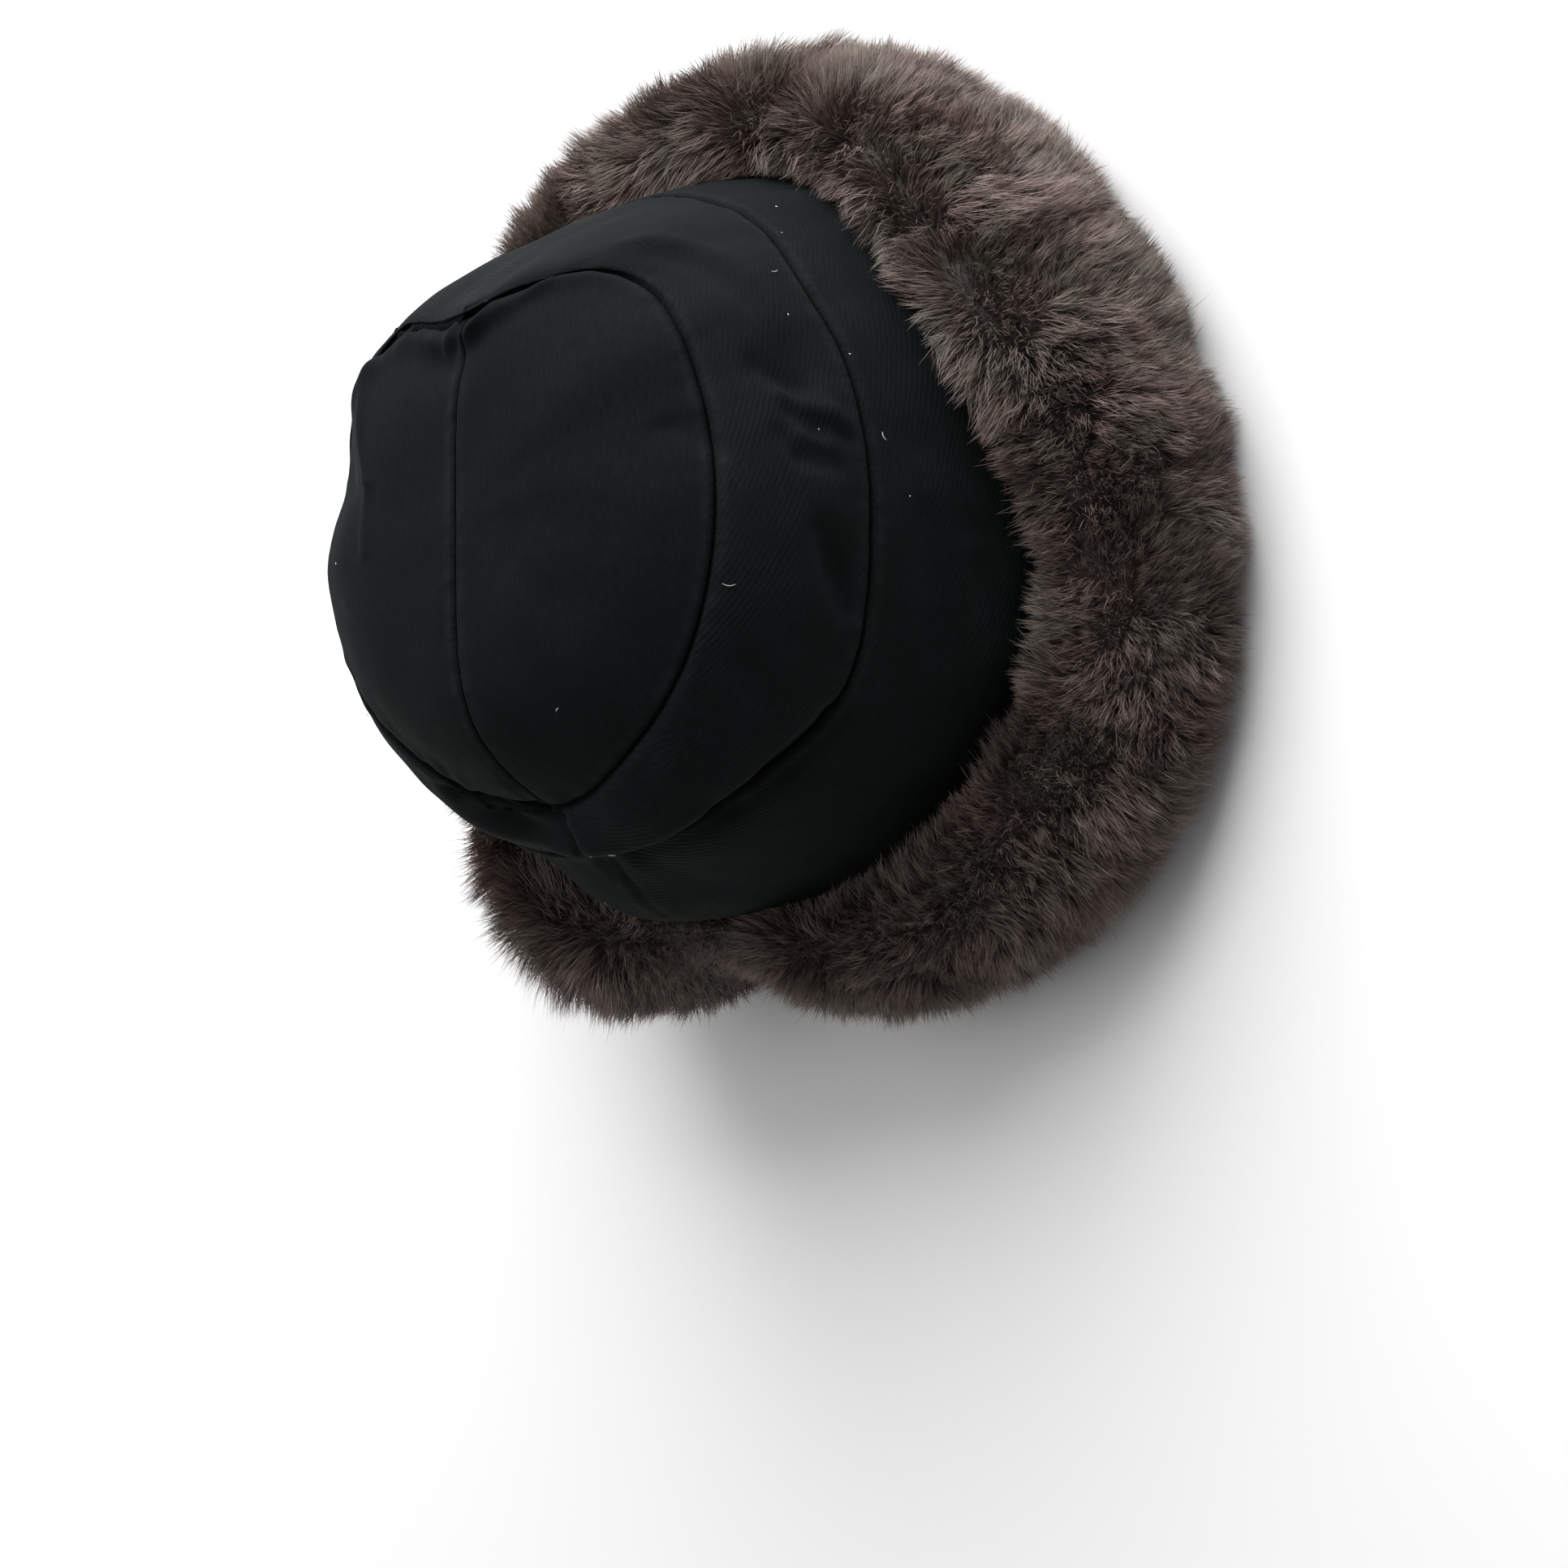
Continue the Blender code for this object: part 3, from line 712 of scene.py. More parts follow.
@dataclass(frozen=True)
class FurFinish:
    """Taupe-brown faux fur with dark roots and greyed tips."""

    root: Colour = (0.032, 0.023, 0.020, 1.0)
    middle: Colour = (0.108, 0.079, 0.069, 1.0)
    tip: Colour = (0.236, 0.187, 0.168, 1.0)
    warm: Colour = (1.10, 0.98, 1.00, 1.0)
    cool: Colour = (0.90, 0.99, 0.93, 1.0)

    def material(self, name: str, groups: Groups) -> Material:
        """The fur's material, read along each strand from the map named Strand.

        Args:
            name: the material's name.
            groups: the shared node groups by name.

        Returns:
            The new material.
        """
        made, desk, shader = dress(name)
        tone = desk.add(
            "ShaderNodeGroup", {"node_tree": groups["pile_tone"]}, Strand=desk.map("Strand"), Root=self.root,
            Middle=self.middle, Tip=self.tip, Warm=self.warm, Cool=self.cool,
            Place=desk.add("ShaderNodeTexCoord").outputs["Object"],
        )
        desk.put(shader, "Base Color", tone.outputs["Color"])
        desk.put(shader, "Roughness", tone.outputs["Roughness"])
        shader.inputs["Specular IOR Level"].default_value = 0.4
        return made


@dataclass(frozen=True)
class Crown:
    """The crown's shape: two half panels on top and two bands below, all on one surface of azimuth and level."""

    height: float = 0.177
    tip_length: float = 0.150
    tip_width: float = 0.144
    middle_length: float = 0.194
    middle_width: float = 0.186
    edge_length: float = 0.214
    edge_width: float = 0.204
    edge_height: float = 0.030
    thickness: float = 0.0024
    seam_gap: float = 0.0003
    upper_puff: float = 0.0050
    lower_puff: float = 0.0035
    fold_rise: float = 0.0075
    fold_level: float = 0.13
    fold_spread: float = 0.14
    fold_lean: float = 0.45
    columns: int = 400
    inner_rows: int = 22

    def profile(self, azimuth: Array, level: Array) -> tuple[Array, Array]:
        """Radius and height before dents.

        Between seams both run straight with level, plus a puff 4u(1 - u) on each band. The tip's height falls
        by its own exponent of the level. The fold lifts the upper band's start as a bell and leans it inwards.

        Args:
            azimuth: degrees.
            level: 0 to 3.

        Returns:
            Radius and height, in metres.
        """
        shares = [ring_value(CROWN_STATIONS, column, azimuth) for column in range(1, CROWN_STATIONS.shape[1])]
        tip_out, tip_up, roundness, middle_out, middle_up, fold = shares
        tip_out = oval_radius(self.tip_length, self.tip_width, azimuth) * tip_out
        tip_up = self.height * tip_up
        middle_out = oval_radius(self.middle_length, self.middle_width, azimuth) * middle_out
        middle_up = self.height * middle_up
        fold = self.fold_rise * fold
        edge_out = oval_radius(self.edge_length, self.edge_width, azimuth)
        on_tip = np.clip(level, 0, 1)
        on_upper = np.clip(level - 1, 0, 1)
        on_lower = np.clip(level - 2, 0, 1)
        radius = tip_out * on_tip + (middle_out - tip_out) * on_upper + (edge_out - middle_out) * on_lower
        height = self.height - (self.height - tip_up) * on_tip**roundness
        height = height + (middle_up - tip_up) * on_upper + (self.edge_height - middle_up) * on_lower
        upper_puff = self.upper_puff * 4 * on_upper * (1 - on_upper)
        lower_puff = self.lower_puff * 4 * on_lower * (1 - on_lower) ** 1.5
        radius = radius + (upper_puff + lower_puff) * 0.85
        height = height + upper_puff * 0.55
        rise = fold * bell(on_upper, self.fold_level, self.fold_spread) * ease(on_upper / 0.05)
        return radius - self.fold_lean * rise, height + rise

    def surface(self, azimuth: Array, level: Array) -> Array:
        """Points of the outer face, with each dent pushed in along the profile's normal as a bell."""
        radius, height = self.profile(azimuth, level)
        step = 0.01
        radius_on, height_on = self.profile(azimuth, level + step)
        radius_back, height_back = self.profile(azimuth, np.maximum(level - step, 0.0))
        run = radius_on - radius_back
        drop = height_back - height_on
        size = np.maximum(np.hypot(run, drop), 1e-9)
        for middle, at, depth, azimuth_spread, level_spread in CROWN_DENTS:
            turned = turn_from(middle, azimuth)
            push = depth * bell(turned, 0.0, azimuth_spread) * bell(level, at, level_spread)
            radius = radius - push * drop / size
            height = height - push * run / size
        return place(radius, height, azimuth)

    def normals(self, azimuth: Array, level: Array) -> Array:
        """Outward normals: the cross product of the steps along the ring and down the level."""
        turn, step = 1.5, 0.03
        along = self.surface(azimuth + turn, level) - self.surface(azimuth - turn, level)
        below, above = np.minimum(level + step, 3.0), np.maximum(level - step, 0.02)
        down = self.surface(azimuth, below) - self.surface(azimuth, above)
        normal = unit(np.cross(along, down))
        outward = self.surface(azimuth, level) - np.array((0.0, 0.0, self.edge_height))
        return normal * np.sign(np.sum(normal * outward, axis=-1, keepdims=True))


@dataclass(frozen=True)
class CrownCloth:
    """The four sewn cloth panels of the crown, each a closed wall with an outer and an inner face."""

    crown: Crown
    groove: float = 0.0009
    groove_width: float = 0.0008
    band_lip: float = 0.0005
    pucker: float = 0.00035
    slack: float = 0.0008
    level_depth: float = 0.052
    rim_puff: float = 0.0024
    rim_out: float = 0.0050
    rim_width: float = 0.0042
    lip_out: float = 0.0024
    lip_width: float = 0.0016
    taut: float = 0.006
    mean_radius: float = 0.085
    row_closeness: float = 0.12
    middle_closeness: float = 0.08
    rim_closeness: float = 0.10
    noise: SoftNoise = field(default_factory=lambda: SoftNoise(7))

    def inner_rows(self, rows: int) -> Array:
        """Which of the outer face's rows the sparser inner rows lie under."""
        return np.unique(np.round(np.linspace(0, rows - 1, self.crown.inner_rows)).astype(int))

    def travelled(self, points: Array) -> Array:
        """Metres travelled down each column of a grid of points."""
        steps = np.linalg.norm(np.diff(points, axis=0), axis=-1)
        return np.concatenate((np.zeros_like(steps[:1]), np.cumsum(steps, axis=0)))

    def line_distance(self, azimuth: Array, level: Array, line: tuple[float, ...]) -> Array:
        """Distance in metres from a line over the crown.

        The line's start is taken as the origin of a flat sheet, metres round the ring by metres down the crown,
        and the distance is that to the nearest point between the line's ends.
        """
        first_azimuth, first_level, last_azimuth, last_level = line
        radius = float(self.crown.profile(np.array(first_azimuth), np.array(first_level))[0])
        scale = np.array((radius * math.pi / 180.0, self.level_depth))
        spot = np.stack((turn_from(first_azimuth, azimuth), level - first_level), axis=-1) * scale
        run = np.array((turn_from(first_azimuth, last_azimuth), last_level - first_level)) * scale
        share = np.clip(spot @ run / (run @ run), 0.0, 1.0)
        return np.linalg.norm(spot - share[..., None] * run, axis=-1)

    def crease_relief(self, azimuth: Array, level: Array) -> Array:
        """Sum of the creases' bells of distance from their lines, in metres, with sunk ones below zero."""
        total = np.zeros(azimuth.shape)
        for *line, depth, width in CREASES:
            total -= depth * bell(self.line_distance(azimuth, level, tuple(line)), 0.0, width)
        return total

    def back_seam_distance(self, azimuth: Array, level: Array, first: float) -> Array:
        """Distance in metres from the back seam of the band that starts at the level first."""
        lines = [line for line in BACK_SEAMS if first <= line[1] < first + 1]
        return np.min([self.line_distance(azimuth, level, line) for line in lines], axis=0)

    def slack_folds(self, points: Array, level: Array) -> Array:
        """Soft unevenness of worn cloth in metres: noise drawn out down the bands, and broad noise on the tip."""
        flat = points * np.array((1.0, 1.0, 0.35))
        on_band = ease((level - 0.9) / 0.4)
        drawn = self.noise.layered(flat, 0.017, 2)
        broad = self.noise.layered(points + 0.3, 0.028, 2)
        return self.slack * (drawn * on_band + 0.8 * broad)

    def seam_relief(self, points: Array, away: Array) -> Array:
        """Height of the cloth beside a seam in metres.

        It sinks into the seam as a bell of the distance, and puckers stand across it as noise along the seam that
        fades over 7 mm.
        """
        sink = -self.groove * bell(away, 0.0, self.groove_width)
        puckers = self.noise.at(points * np.array((1.0, 1.0, 0.5)) + 0.7, 0.0042) * bell(away, 0.002, 0.0035)
        return sink + self.pucker * puckers

    def band(self, name: str, first: float, rows: int, lip: float, material: Material) -> Piece:
        """A ring of cloth over one level of the crown.

        Rows are closer together at the seams: level = t - c sin(2 pi t), with c the closeness of the rows. The
        relief is added along the normals.

        Args:
            name: the piece's name.
            first: the level of its upper seam.
            rows: rows of the outer face.
            lip: height of the rounded rise along its upper seam, in metres.
            material: its finish.

        Returns:
            The new piece.
        """
        crown = self.crown
        count = crown.columns
        share = np.linspace(0.0, 1.0, rows)
        share = share - self.row_closeness * np.sin(2 * math.pi * share)
        azimuth, level = np.meshgrid(np.arange(count) * 360.0 / count, first + share)
        outer = crown.surface(azimuth, level)
        normals = crown.normals(azimuth, level)
        travelled = self.travelled(outer)
        to_top = travelled
        to_bottom = travelled[-1] - travelled
        away = np.minimum(to_top, to_bottom if first < 2 else to_bottom + 1.0)
        creases = self.crease_relief(azimuth, level)
        to_back = self.back_seam_distance(azimuth, level, first)
        relief = creases + self.slack_folds(outer, level) * ease(away / self.taut) + self.seam_relief(outer, away)
        relief = relief + self.seam_relief(outer, to_back)
        away = np.minimum(away, to_back)
        relief = relief + lip * bell(to_top, self.lip_out, self.lip_width)
        shift = (crown.seam_gap / 2) * bell(np.minimum(to_top, to_bottom), 0.0, 0.001)
        down = unit(np.gradient(outer, axis=0))
        apart = down * (shift * np.where(to_top < to_bottom, 1.0, -1.0))[..., None]
        base = outer + apart
        outer = outer + normals * relief[..., None]
        outer = outer + apart
        inner_rows = self.inner_rows(rows)
        loose = creases + self.slack_folds(base, level) * ease(away / self.taut)
        inner = (base + (loose - crown.thickness)[..., None] * normals)[inner_rows][:, ::2]
        around = np.linspace(0.0, 1.0, count + 1)
        metres = around * 2 * math.pi * self.mean_radius
        closed_away = np.concatenate((away, away[:, :1]), axis=1)
        closed_travel = np.concatenate((travelled, travelled[:, :1]), axis=1)
        bake_around = 0.005 + 0.99 * around
        maps = {
            "Cloth": pair(metres, closed_travel),
            "Seam": pair(metres, closed_away),
            "OFBake": pair(bake_around, 0.20 + 0.79 * closed_travel / travelled.max()),
        }
        inner_maps = {name: coordinates[inner_rows][:, ::2] for name, coordinates in maps.items()}
        inner_maps["OFBake"] = pair(bake_around[::2], np.linspace(0.01, 0.17, len(inner_rows))[:, None])
        patch = Patchwork()
        outer_index = patch.add_points(outer)
        inner_index = patch.add_points(inner)
        patch.add_grid(outer_index, maps, True)
        patch.add_grid(inner_index, inner_maps, True)
        for row in (0, -1):
            edge_maps = {map_name: coordinates[row] for map_name, coordinates in maps.items()}
            patch.add_wall(outer_index[row], inner_index[row], edge_maps, True)
        return patch.build(name, material)

    def tip_half(self, name: str, side: int, rows: int, material: Material) -> Piece:
        """Half of the oval tip, cut along the centre seam.

        A polar grid: columns run from the front round to the back, closer together at the centre seam, and rows
        from the middle of the top out to the rim.

        Args:
            name: the piece's name.
            side: 1 for the wearer's right, -1 for the left.
            rows: rows of the outer face.
            material: its finish.

        Returns:
            The new piece.
        """
        crown = self.crown
        half = crown.columns // 2
        turn = np.linspace(0.0, 1.0, half + 1)
        turn = turn - self.middle_closeness * np.sin(2 * math.pi * turn)
        share = np.linspace(0.0, 1.0, rows + 1)[1:]
        share = share + self.rim_closeness * np.sin(math.pi * share)
        azimuth, level = np.meshgrid(180.0 * turn + (0.0 if side > 0 else 180.0), share / share[-1])
        outer = crown.surface(azimuth, level)
        normals = crown.normals(azimuth, level)
        travelled = self.travelled(outer)
        to_rim = travelled[-1] - travelled
        to_middle = np.abs(outer[..., 0])
        away = np.minimum(to_rim, to_middle)
        loose = self.crease_relief(azimuth, level) * ease(to_middle / 0.002)
        loose = loose + self.slack_folds(outer, level) * ease(away / self.taut)
        folded = np.clip(ring_value(CROWN_STATIONS, 6, azimuth), 0.0, 1.0)
        gathered = 1.0 + 0.7 * self.noise.at(outer * np.array((1.0, 0.4, 0.4)) + 1.3, 0.0055)
        loose = loose + self.rim_puff * folded * bell(to_rim, self.rim_out, self.rim_width) * gathered
        relief = loose + self.seam_relief(outer, to_rim)
        relief = relief + 0.75 * self.seam_relief(outer, to_middle) * ease(to_rim / 0.002)
        out = unit(np.gradient(outer, axis=0))
        inner = outer + (loose - crown.thickness)[..., None] * normals
        shift = (crown.seam_gap / 2) * bell(to_rim, 0.0, 0.001)
        outer = outer + normals * relief[..., None] - out * shift[..., None]
        inner = inner - out * shift[..., None]
        for face in (outer, inner):
            face[..., 0] = -side * np.maximum(-side * face[..., 0], crown.seam_gap / 2)
        inner_rows = self.inner_rows(rows)
        inner = inner[inner_rows][:, ::2]
        top = np.array((-side * crown.seam_gap / 2, 0.0, crown.height - 0.0008))
        bake_across = 0.5 + 0.49 * level * np.cos(math.pi * turn)
        bake_out = level * np.sin(math.pi * turn)
        maps = {
            "Cloth": outer[..., :2].copy(),
            "Seam": pair(outer[..., 1], away),
            "OFBake": pair(bake_across, 0.02 + 0.75 * bake_out),
        }
        under_maps = {**maps, "OFBake": pair(bake_across, 0.98 - 0.19 * bake_out)}
        inner_maps = {name: coordinates[inner_rows][:, ::2] for name, coordinates in under_maps.items()}
        patch = Patchwork()
        outer_index = patch.add_points(outer)
        inner_index = patch.add_points(inner)
        poles = patch.add_points(np.stack((top, top - np.array((0.0, 0.0, crown.thickness)))))
        patch.add_grid(outer_index, maps, False)
        patch.add_grid(inner_index, inner_maps, False)
        for pole, index, edge_maps in ((poles[0], outer_index, maps), (poles[1], inner_index, inner_maps)):
            row = index[0]
            fan = np.stack((np.full(len(row) - 1, pole), row[:-1], row[1:]), -1)
            middle = {n: np.broadcast_to(m[0].mean(axis=0), (len(row) - 1, 2)) for n, m in edge_maps.items()}
            patch.add_faces(fan, {n: np.stack((middle[n], m[0, :-1], m[0, 1:]), 1) for n, m in edge_maps.items()})
        patch.add_wall(outer_index[-1], inner_index[-1], {n: m[-1] for n, m in maps.items()}, False)
        self.close_cut(patch, outer_index, inner_index, poles, inner_rows, maps)
        return patch.build(name, material)

    def close_cut(self, patch: Patchwork, outer: Array, inner: Array, poles: Array,
                  inner_rows: Array, maps: dict[str, Array]) -> None:
        """Closes a tip half along its straight cut, between the outer edge and the sparser inner one.

        Each stretch between two inner rows is a fan: all its outer steps join the upper inner point, and one last
        triangle joins the two inner points to the outer step's end.

        Args:
            patch: the piece being made.
            outer: point numbers of the outer face.
            inner: point numbers of the inner face.
            poles: the outer and inner pole.
            inner_rows: which outer rows the inner rows lie under.
            maps: the outer face's maps.
        """
        for column in (0, -1):
            faces = [(poles[0], outer[0, column], poles[1]), (outer[0, column], inner[0, column], poles[1])]
            for number, (low, high) in enumerate(zip(inner_rows[:-1], inner_rows[1:])):
                steps = zip(outer[low:high, column], outer[low + 1:high + 1, column])
                faces += [(upper, lower, inner[number, column]) for upper, lower in steps]
                faces.append((outer[high, column], inner[number + 1, column], inner[number, column]))
            flat = {n: np.broadcast_to(m[len(m) // 2, column], (len(faces), 3, 2)) for n, m in maps.items()}
            patch.add_faces(np.array(faces), flat)

    def build(self, groups: Groups) -> list[Piece]:
        band_cloth = ClothFinish().material("band_cloth", groups)
        tip_cloth = ClothFinish(rib_angle=1.25, rib_strength=0.05).material("tip_cloth", groups)
        pieces = {
            "tip_panel_right": self.tip_half("tip_cloth_right", 1, 64, tip_cloth),
            "tip_panel_left": self.tip_half("tip_cloth_left", -1, 64, tip_cloth),
            "upper_band": self.band("upper_band_cloth", 1.0, 64, 0.0002, band_cloth),
            "lower_band": self.band("lower_band_cloth", 2.0, 56, self.band_lip, band_cloth),
        }
        for node, piece in pieces.items():
            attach(piece, "root")
            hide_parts(node)
            report(piece)
        return list(pieces.values())


@dataclass(frozen=True)
class Lint:
    """Specks, loose fibres and thread ends that lie on the cloth, as thin bent tubes in one piece."""

    crown: Crown
    radius: float = 0.00016
    steps: int = 7
    sides: int = 4
    lift: float = 0.0007
    bend: float = 0.16
    dark: Colour = (0.02, 0.05, 0.03, 1.0)
    pale: Colour = (0.72, 0.74, 0.74, 1.0)

    def build(self) -> Piece:
        """Makes the fibres.

        Each runs along the surface in its own direction: middle + length * (t * run + b cos(pi t) * across), with b
        its bend and t from -0.5 to 0.5. Its tube narrows to both ends.
        """
        table = np.array(LINT)
        azimuth, level, length, turn, tone = table.T
        middle = self.crown.surface(azimuth, level)
        normal = self.crown.normals(azimuth, level)
        around = unit(np.cross(np.array((0.0, 0.0, 1.0)), normal) + 1e-9)
        down = np.cross(normal, around)
        angle = np.radians(turn)[:, None]
        run = around * np.cos(angle) + down * np.sin(angle)
        across = np.cross(normal, run)
        t = np.linspace(-0.5, 0.5, self.steps)[None, :, None]
        bent = t * run[:, None] + self.bend * np.cos(math.pi * t) * across[:, None]
        path = middle[:, None] + self.lift * normal[:, None] + length[:, None, None] * bent
        thick = self.radius * np.sqrt(np.clip(1.0 - (1.9 * t) ** 2, 0.02, 1.0))
        side = 2 * math.pi * np.arange(self.sides) / self.sides
        ring = np.cos(side)[:, None] * across[:, None, None] + np.sin(side)[:, None] * normal[:, None, None]
        tube = path[:, :, None] + ring * thick[..., None]
        patch = Patchwork()
        for fibre, shade in zip(tube, tone):
            index = patch.add_points(fibre)
            flat = np.full((self.steps, self.sides + 1, 2), (shade, 0.5))
            patch.add_grid(index, {"Shade": flat}, True)
            ends = np.stack((index[0], index[-1]))
            patch.add_faces(ends, {"Shade": np.full((2, self.sides, 2), (shade, 0.5))})
        material, desk, shader = dress("lint")
        shade = desk.parts(desk.map("Shade"))[0]
        desk.put(shader, "Base Color", desk.mix(shade, self.dark, self.pale))
        shader.inputs["Roughness"].default_value = 0.8
        piece = patch.build("lint_and_threads", material)
        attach(piece, "root")
        return report(piece)


@dataclass(frozen=True)
class FurRoll:
    """The deep fur roll: a dark backing under strands that grow out of it, bend over and gather in clumps."""

    crown: Crown
    length: float = 0.286
    width: float = 0.290
    height: float = 0.062
    root_depth: float = 0.0125
    strand_length: float = 0.0146
    strand_width: float = 0.00024
    strands: int = 250000
    pieces: int = 5
    clumps_round: int = 104
    clumps_across: int = 15
    wisps_round: int = 300
    wisps_across: int = 46
    stand: float = 0.82
    bend_over: float = 0.60
    bend_power: float = 1.4
    strand_turn: float = 0.22
    wisp_turn: float = 0.20
    clump_turn: float = 0.34
    wisp_pull: float = 0.42
    strand_pull: tuple[float, float] = (0.12, 0.78)
    unevenness: float = 0.00065
    under_share: float = 0.80
    under_density: float = 0.45
    strand_clearance: float = 0.0006
    backing_clearance: float = 0.0004
    backing_floor: float = 0.0008
    edge_gap: float = 0.0006
    fold_under: float = 0.0085
    jitter: float = 0.46
    most_tries: float = 2.4
    backing_depth: float = 0.82
    lump: float = 0.0012
    seed: int = 41
    flow_noise: SoftNoise = field(default_factory=lambda: SoftNoise(19))
    path_shares: tuple[float, ...] = (0.0, 0.55, 1.0)
    path_widths: tuple[float, ...] = (0.9, 1.0, 0.0)

    def section(self, share: Array) -> tuple[Array, Array]:
        """Out and up of the section at a share of its way round: the table's corners rounded by a running mean."""
        steps = np.concatenate(((0.0,), np.cumsum(np.linalg.norm(np.diff(ROLL_SECTION, axis=0), axis=1))))
        fine = np.linspace(0.0, 1.0, 241)
        window = np.hanning(33)[1:-1]
        window = window / window.sum()
        pad = len(window) // 2
        result = []
        for column in range(2):
            line = np.interp(fine * steps[-1], steps, ROLL_SECTION[:, column])
            line = np.concatenate((2 * line[0] - line[pad:0:-1], line, 2 * line[-1] - line[-2:-pad - 2:-1]))
            result.append(np.interp(share, fine, np.convolve(line, window, mode="valid")))
        return result[0], result[1]

    def surface(self, azimuth: Array, share: Array, depth: float) -> Array:
        """Points of the roll's surface at a depth under the pile's outline.

        The radius runs from the crown's edge out to the outline less the depth, and the height up to the roll's
        top less the depth, with the underside raised by a part of it.

        Args:
            azimuth: degrees.
            share: 0 at the inner top, 1 at the inner bottom.
            depth: metres under the outline.

        Returns:
            The points.
        """
        out, up = self.section(share)
        crown_out = oval_radius(self.crown.edge_length, self.crown.edge_width, azimuth)
        outline = oval_radius(self.length, self.width, azimuth) * ring_value(BRIM_STATIONS, 1, azimuth) - depth
        top = self.height * ring_value(BRIM_STATIONS, 2, azimuth) - 0.72 * depth
        belly = ring_value(BRIM_STATIONS, 3, azimuth)
        lift = np.maximum(self.height * ring_value(BRIM_STATIONS, 4, azimuth), 0.0)
        low = lift * np.minimum(1.0, 1.4 * out) + 0.30 * depth
        raised = up + belly * np.sin(math.pi * up)
        height = low + (top - low) * raised
        return place(crown_out + (outline - crown_out) * out, height, azimuth)

    def frames(self, azimuth: Array, share: Array) -> tuple[Array, ...]:
        """Roots with their outward normals, directions along the section and round the ring, and area elements."""
        turn, step, depth = 0.8, 0.012, self.root_depth
        root = self.surface(azimuth, share, depth)
        around = (self.surface(azimuth + turn, share, depth) - self.surface(azimuth - turn, share, depth)) / (2 * turn)
        low, high = np.maximum(share - step, 0.0), np.minimum(share + step, 1.0)
        along = (self.surface(azimuth, high, depth) - self.surface(azimuth, low, depth)) / (high - low)[..., None]
        cross = np.cross(around, along)
        return root, unit(cross), unit(along), unit(around), np.linalg.norm(cross, axis=-1)

    def flow(self, root: Array, along: Array, around: Array, share: Array) -> Array:
        """Which way the pile lies.

        It leans inwards above the roll's shoulder and outwards below it, and slow noise swirls it round the ring.
        """
        noise = self.flow_noise
        swirl = noise.layered(root + 0.11, 0.021, 2)
        lean = noise.layered(root + 0.57, 0.024, 2)
        down = np.tanh((share - 0.30) * 4.0) * 0.45 + 0.58 * lean
        return along * down[..., None] + around * (0.90 * swirl)[..., None]

    def fullness(self, azimuth: Array, share: Array) -> Array:
        """Share of the full pile length at a place.

        It drops along winding valleys, a bell of a noise drawn out across the roll. Towards the crown, where the
        pile is pressed, it drops to the stations' own share of the pile there.
        """
        angle = np.radians(azimuth)
        spot = np.stack((0.125 * np.sin(angle), 0.125 * np.cos(angle), 0.035 * share), axis=-1)
        valley = bell(self.flow_noise.layered(spot + 0.2, 0.016, 2), 0.0, 0.2)
        swell = self.flow_noise.at(spot + 0.8, 0.012)
        around = ring_value(PILE_STATIONS, 1, azimuth)
        inner = ring_value(PILE_STATIONS, 2, azimuth)
        return (1.0 - 0.30 * valley + 0.10 * swell) * around * (inner + (1.0 - inner) * ease(share / 0.16))

    def grow(self, azimuth: Array, share: Array, long: Array, stray: Array) -> tuple[Array, Array]:
        """Paths of strands before clumping.

        A strand leaves along the normal and bends over into the flow: root + normal * L * rise(t) + flow * L * run(t),
        with rise = stand * (1 - (1 - t)^power) and run = bend_over * t^power.

        Args:
            azimuth: degrees.
            share: place round the section.
            long: share of the strand's length.
            stray: a random turn of each strand's own direction (n, 3).

        Returns:
            Points (n, steps, 3) and the outward normals (n, 3).
        """
        root, normal, along, around, _ = self.frames(azimuth, share)
        flow = self.flow(root, along, around, share) + stray
        t = np.array(self.path_shares)[None, :, None]
        length = (self.strand_length * long * self.fullness(azimuth, share))[:, None, None]
        rise = self.stand * (1 - (1 - t) ** self.bend_power)
        run = self.bend_over * t**self.bend_power
        return root[:, None] + length * (rise * normal[:, None] + run * flow[:, None]), normal

    def gather(self, azimuth: Array, share: Array, round_count: int, across_count: int,
               seed: int) -> tuple[Array, Array, Array]:
        """Nearest centre of a jittered grid over the roll, for each strand.

        Args:
            azimuth: degrees.
            share: place round the section.
            round_count: cells round the ring.
            across_count: cells across the section.
            seed: of the jitter.

        Returns:
            The cell number for each strand, and all centres' azimuths and shares.
        """
        chooser = np.random.default_rng(seed)
        jitter = chooser.uniform(-self.jitter, self.jitter, (round_count, across_count, 2))
        u = azimuth / 360.0 * round_count - 0.5
        v = share * across_count - 0.5
        cell_u, cell_v = np.round(u).astype(int), np.round(v).astype(int)
        best = np.full(azimuth.shape, 1e9)
        chosen = np.zeros(azimuth.shape, int)
        for step_u in (-1, 0, 1):
            for step_v in (-1, 0, 1):
                at_u, at_v = cell_u + step_u, np.clip(cell_v + step_v, 0, across_count - 1)
                wrapped = np.mod(at_u, round_count)
                distance = (u - at_u - jitter[wrapped, at_v, 0]) ** 2 + (v - at_v - jitter[wrapped, at_v, 1]) ** 2
                nearer = distance < best
                best = np.where(nearer, distance, best)
                chosen = np.where(nearer, wrapped * across_count + at_v, chosen)
        grid_u, grid_v = np.meshgrid(np.arange(round_count), np.arange(across_count), indexing="ij")
        centre_azimuth = (grid_u + 0.5 + jitter[..., 0]) * 360.0 / round_count
        centre_share = np.clip((grid_v + 0.5 + jitter[..., 1]) / across_count, 0.0, 1.0)
        return chosen, centre_azimuth.ravel(), centre_share.ravel()

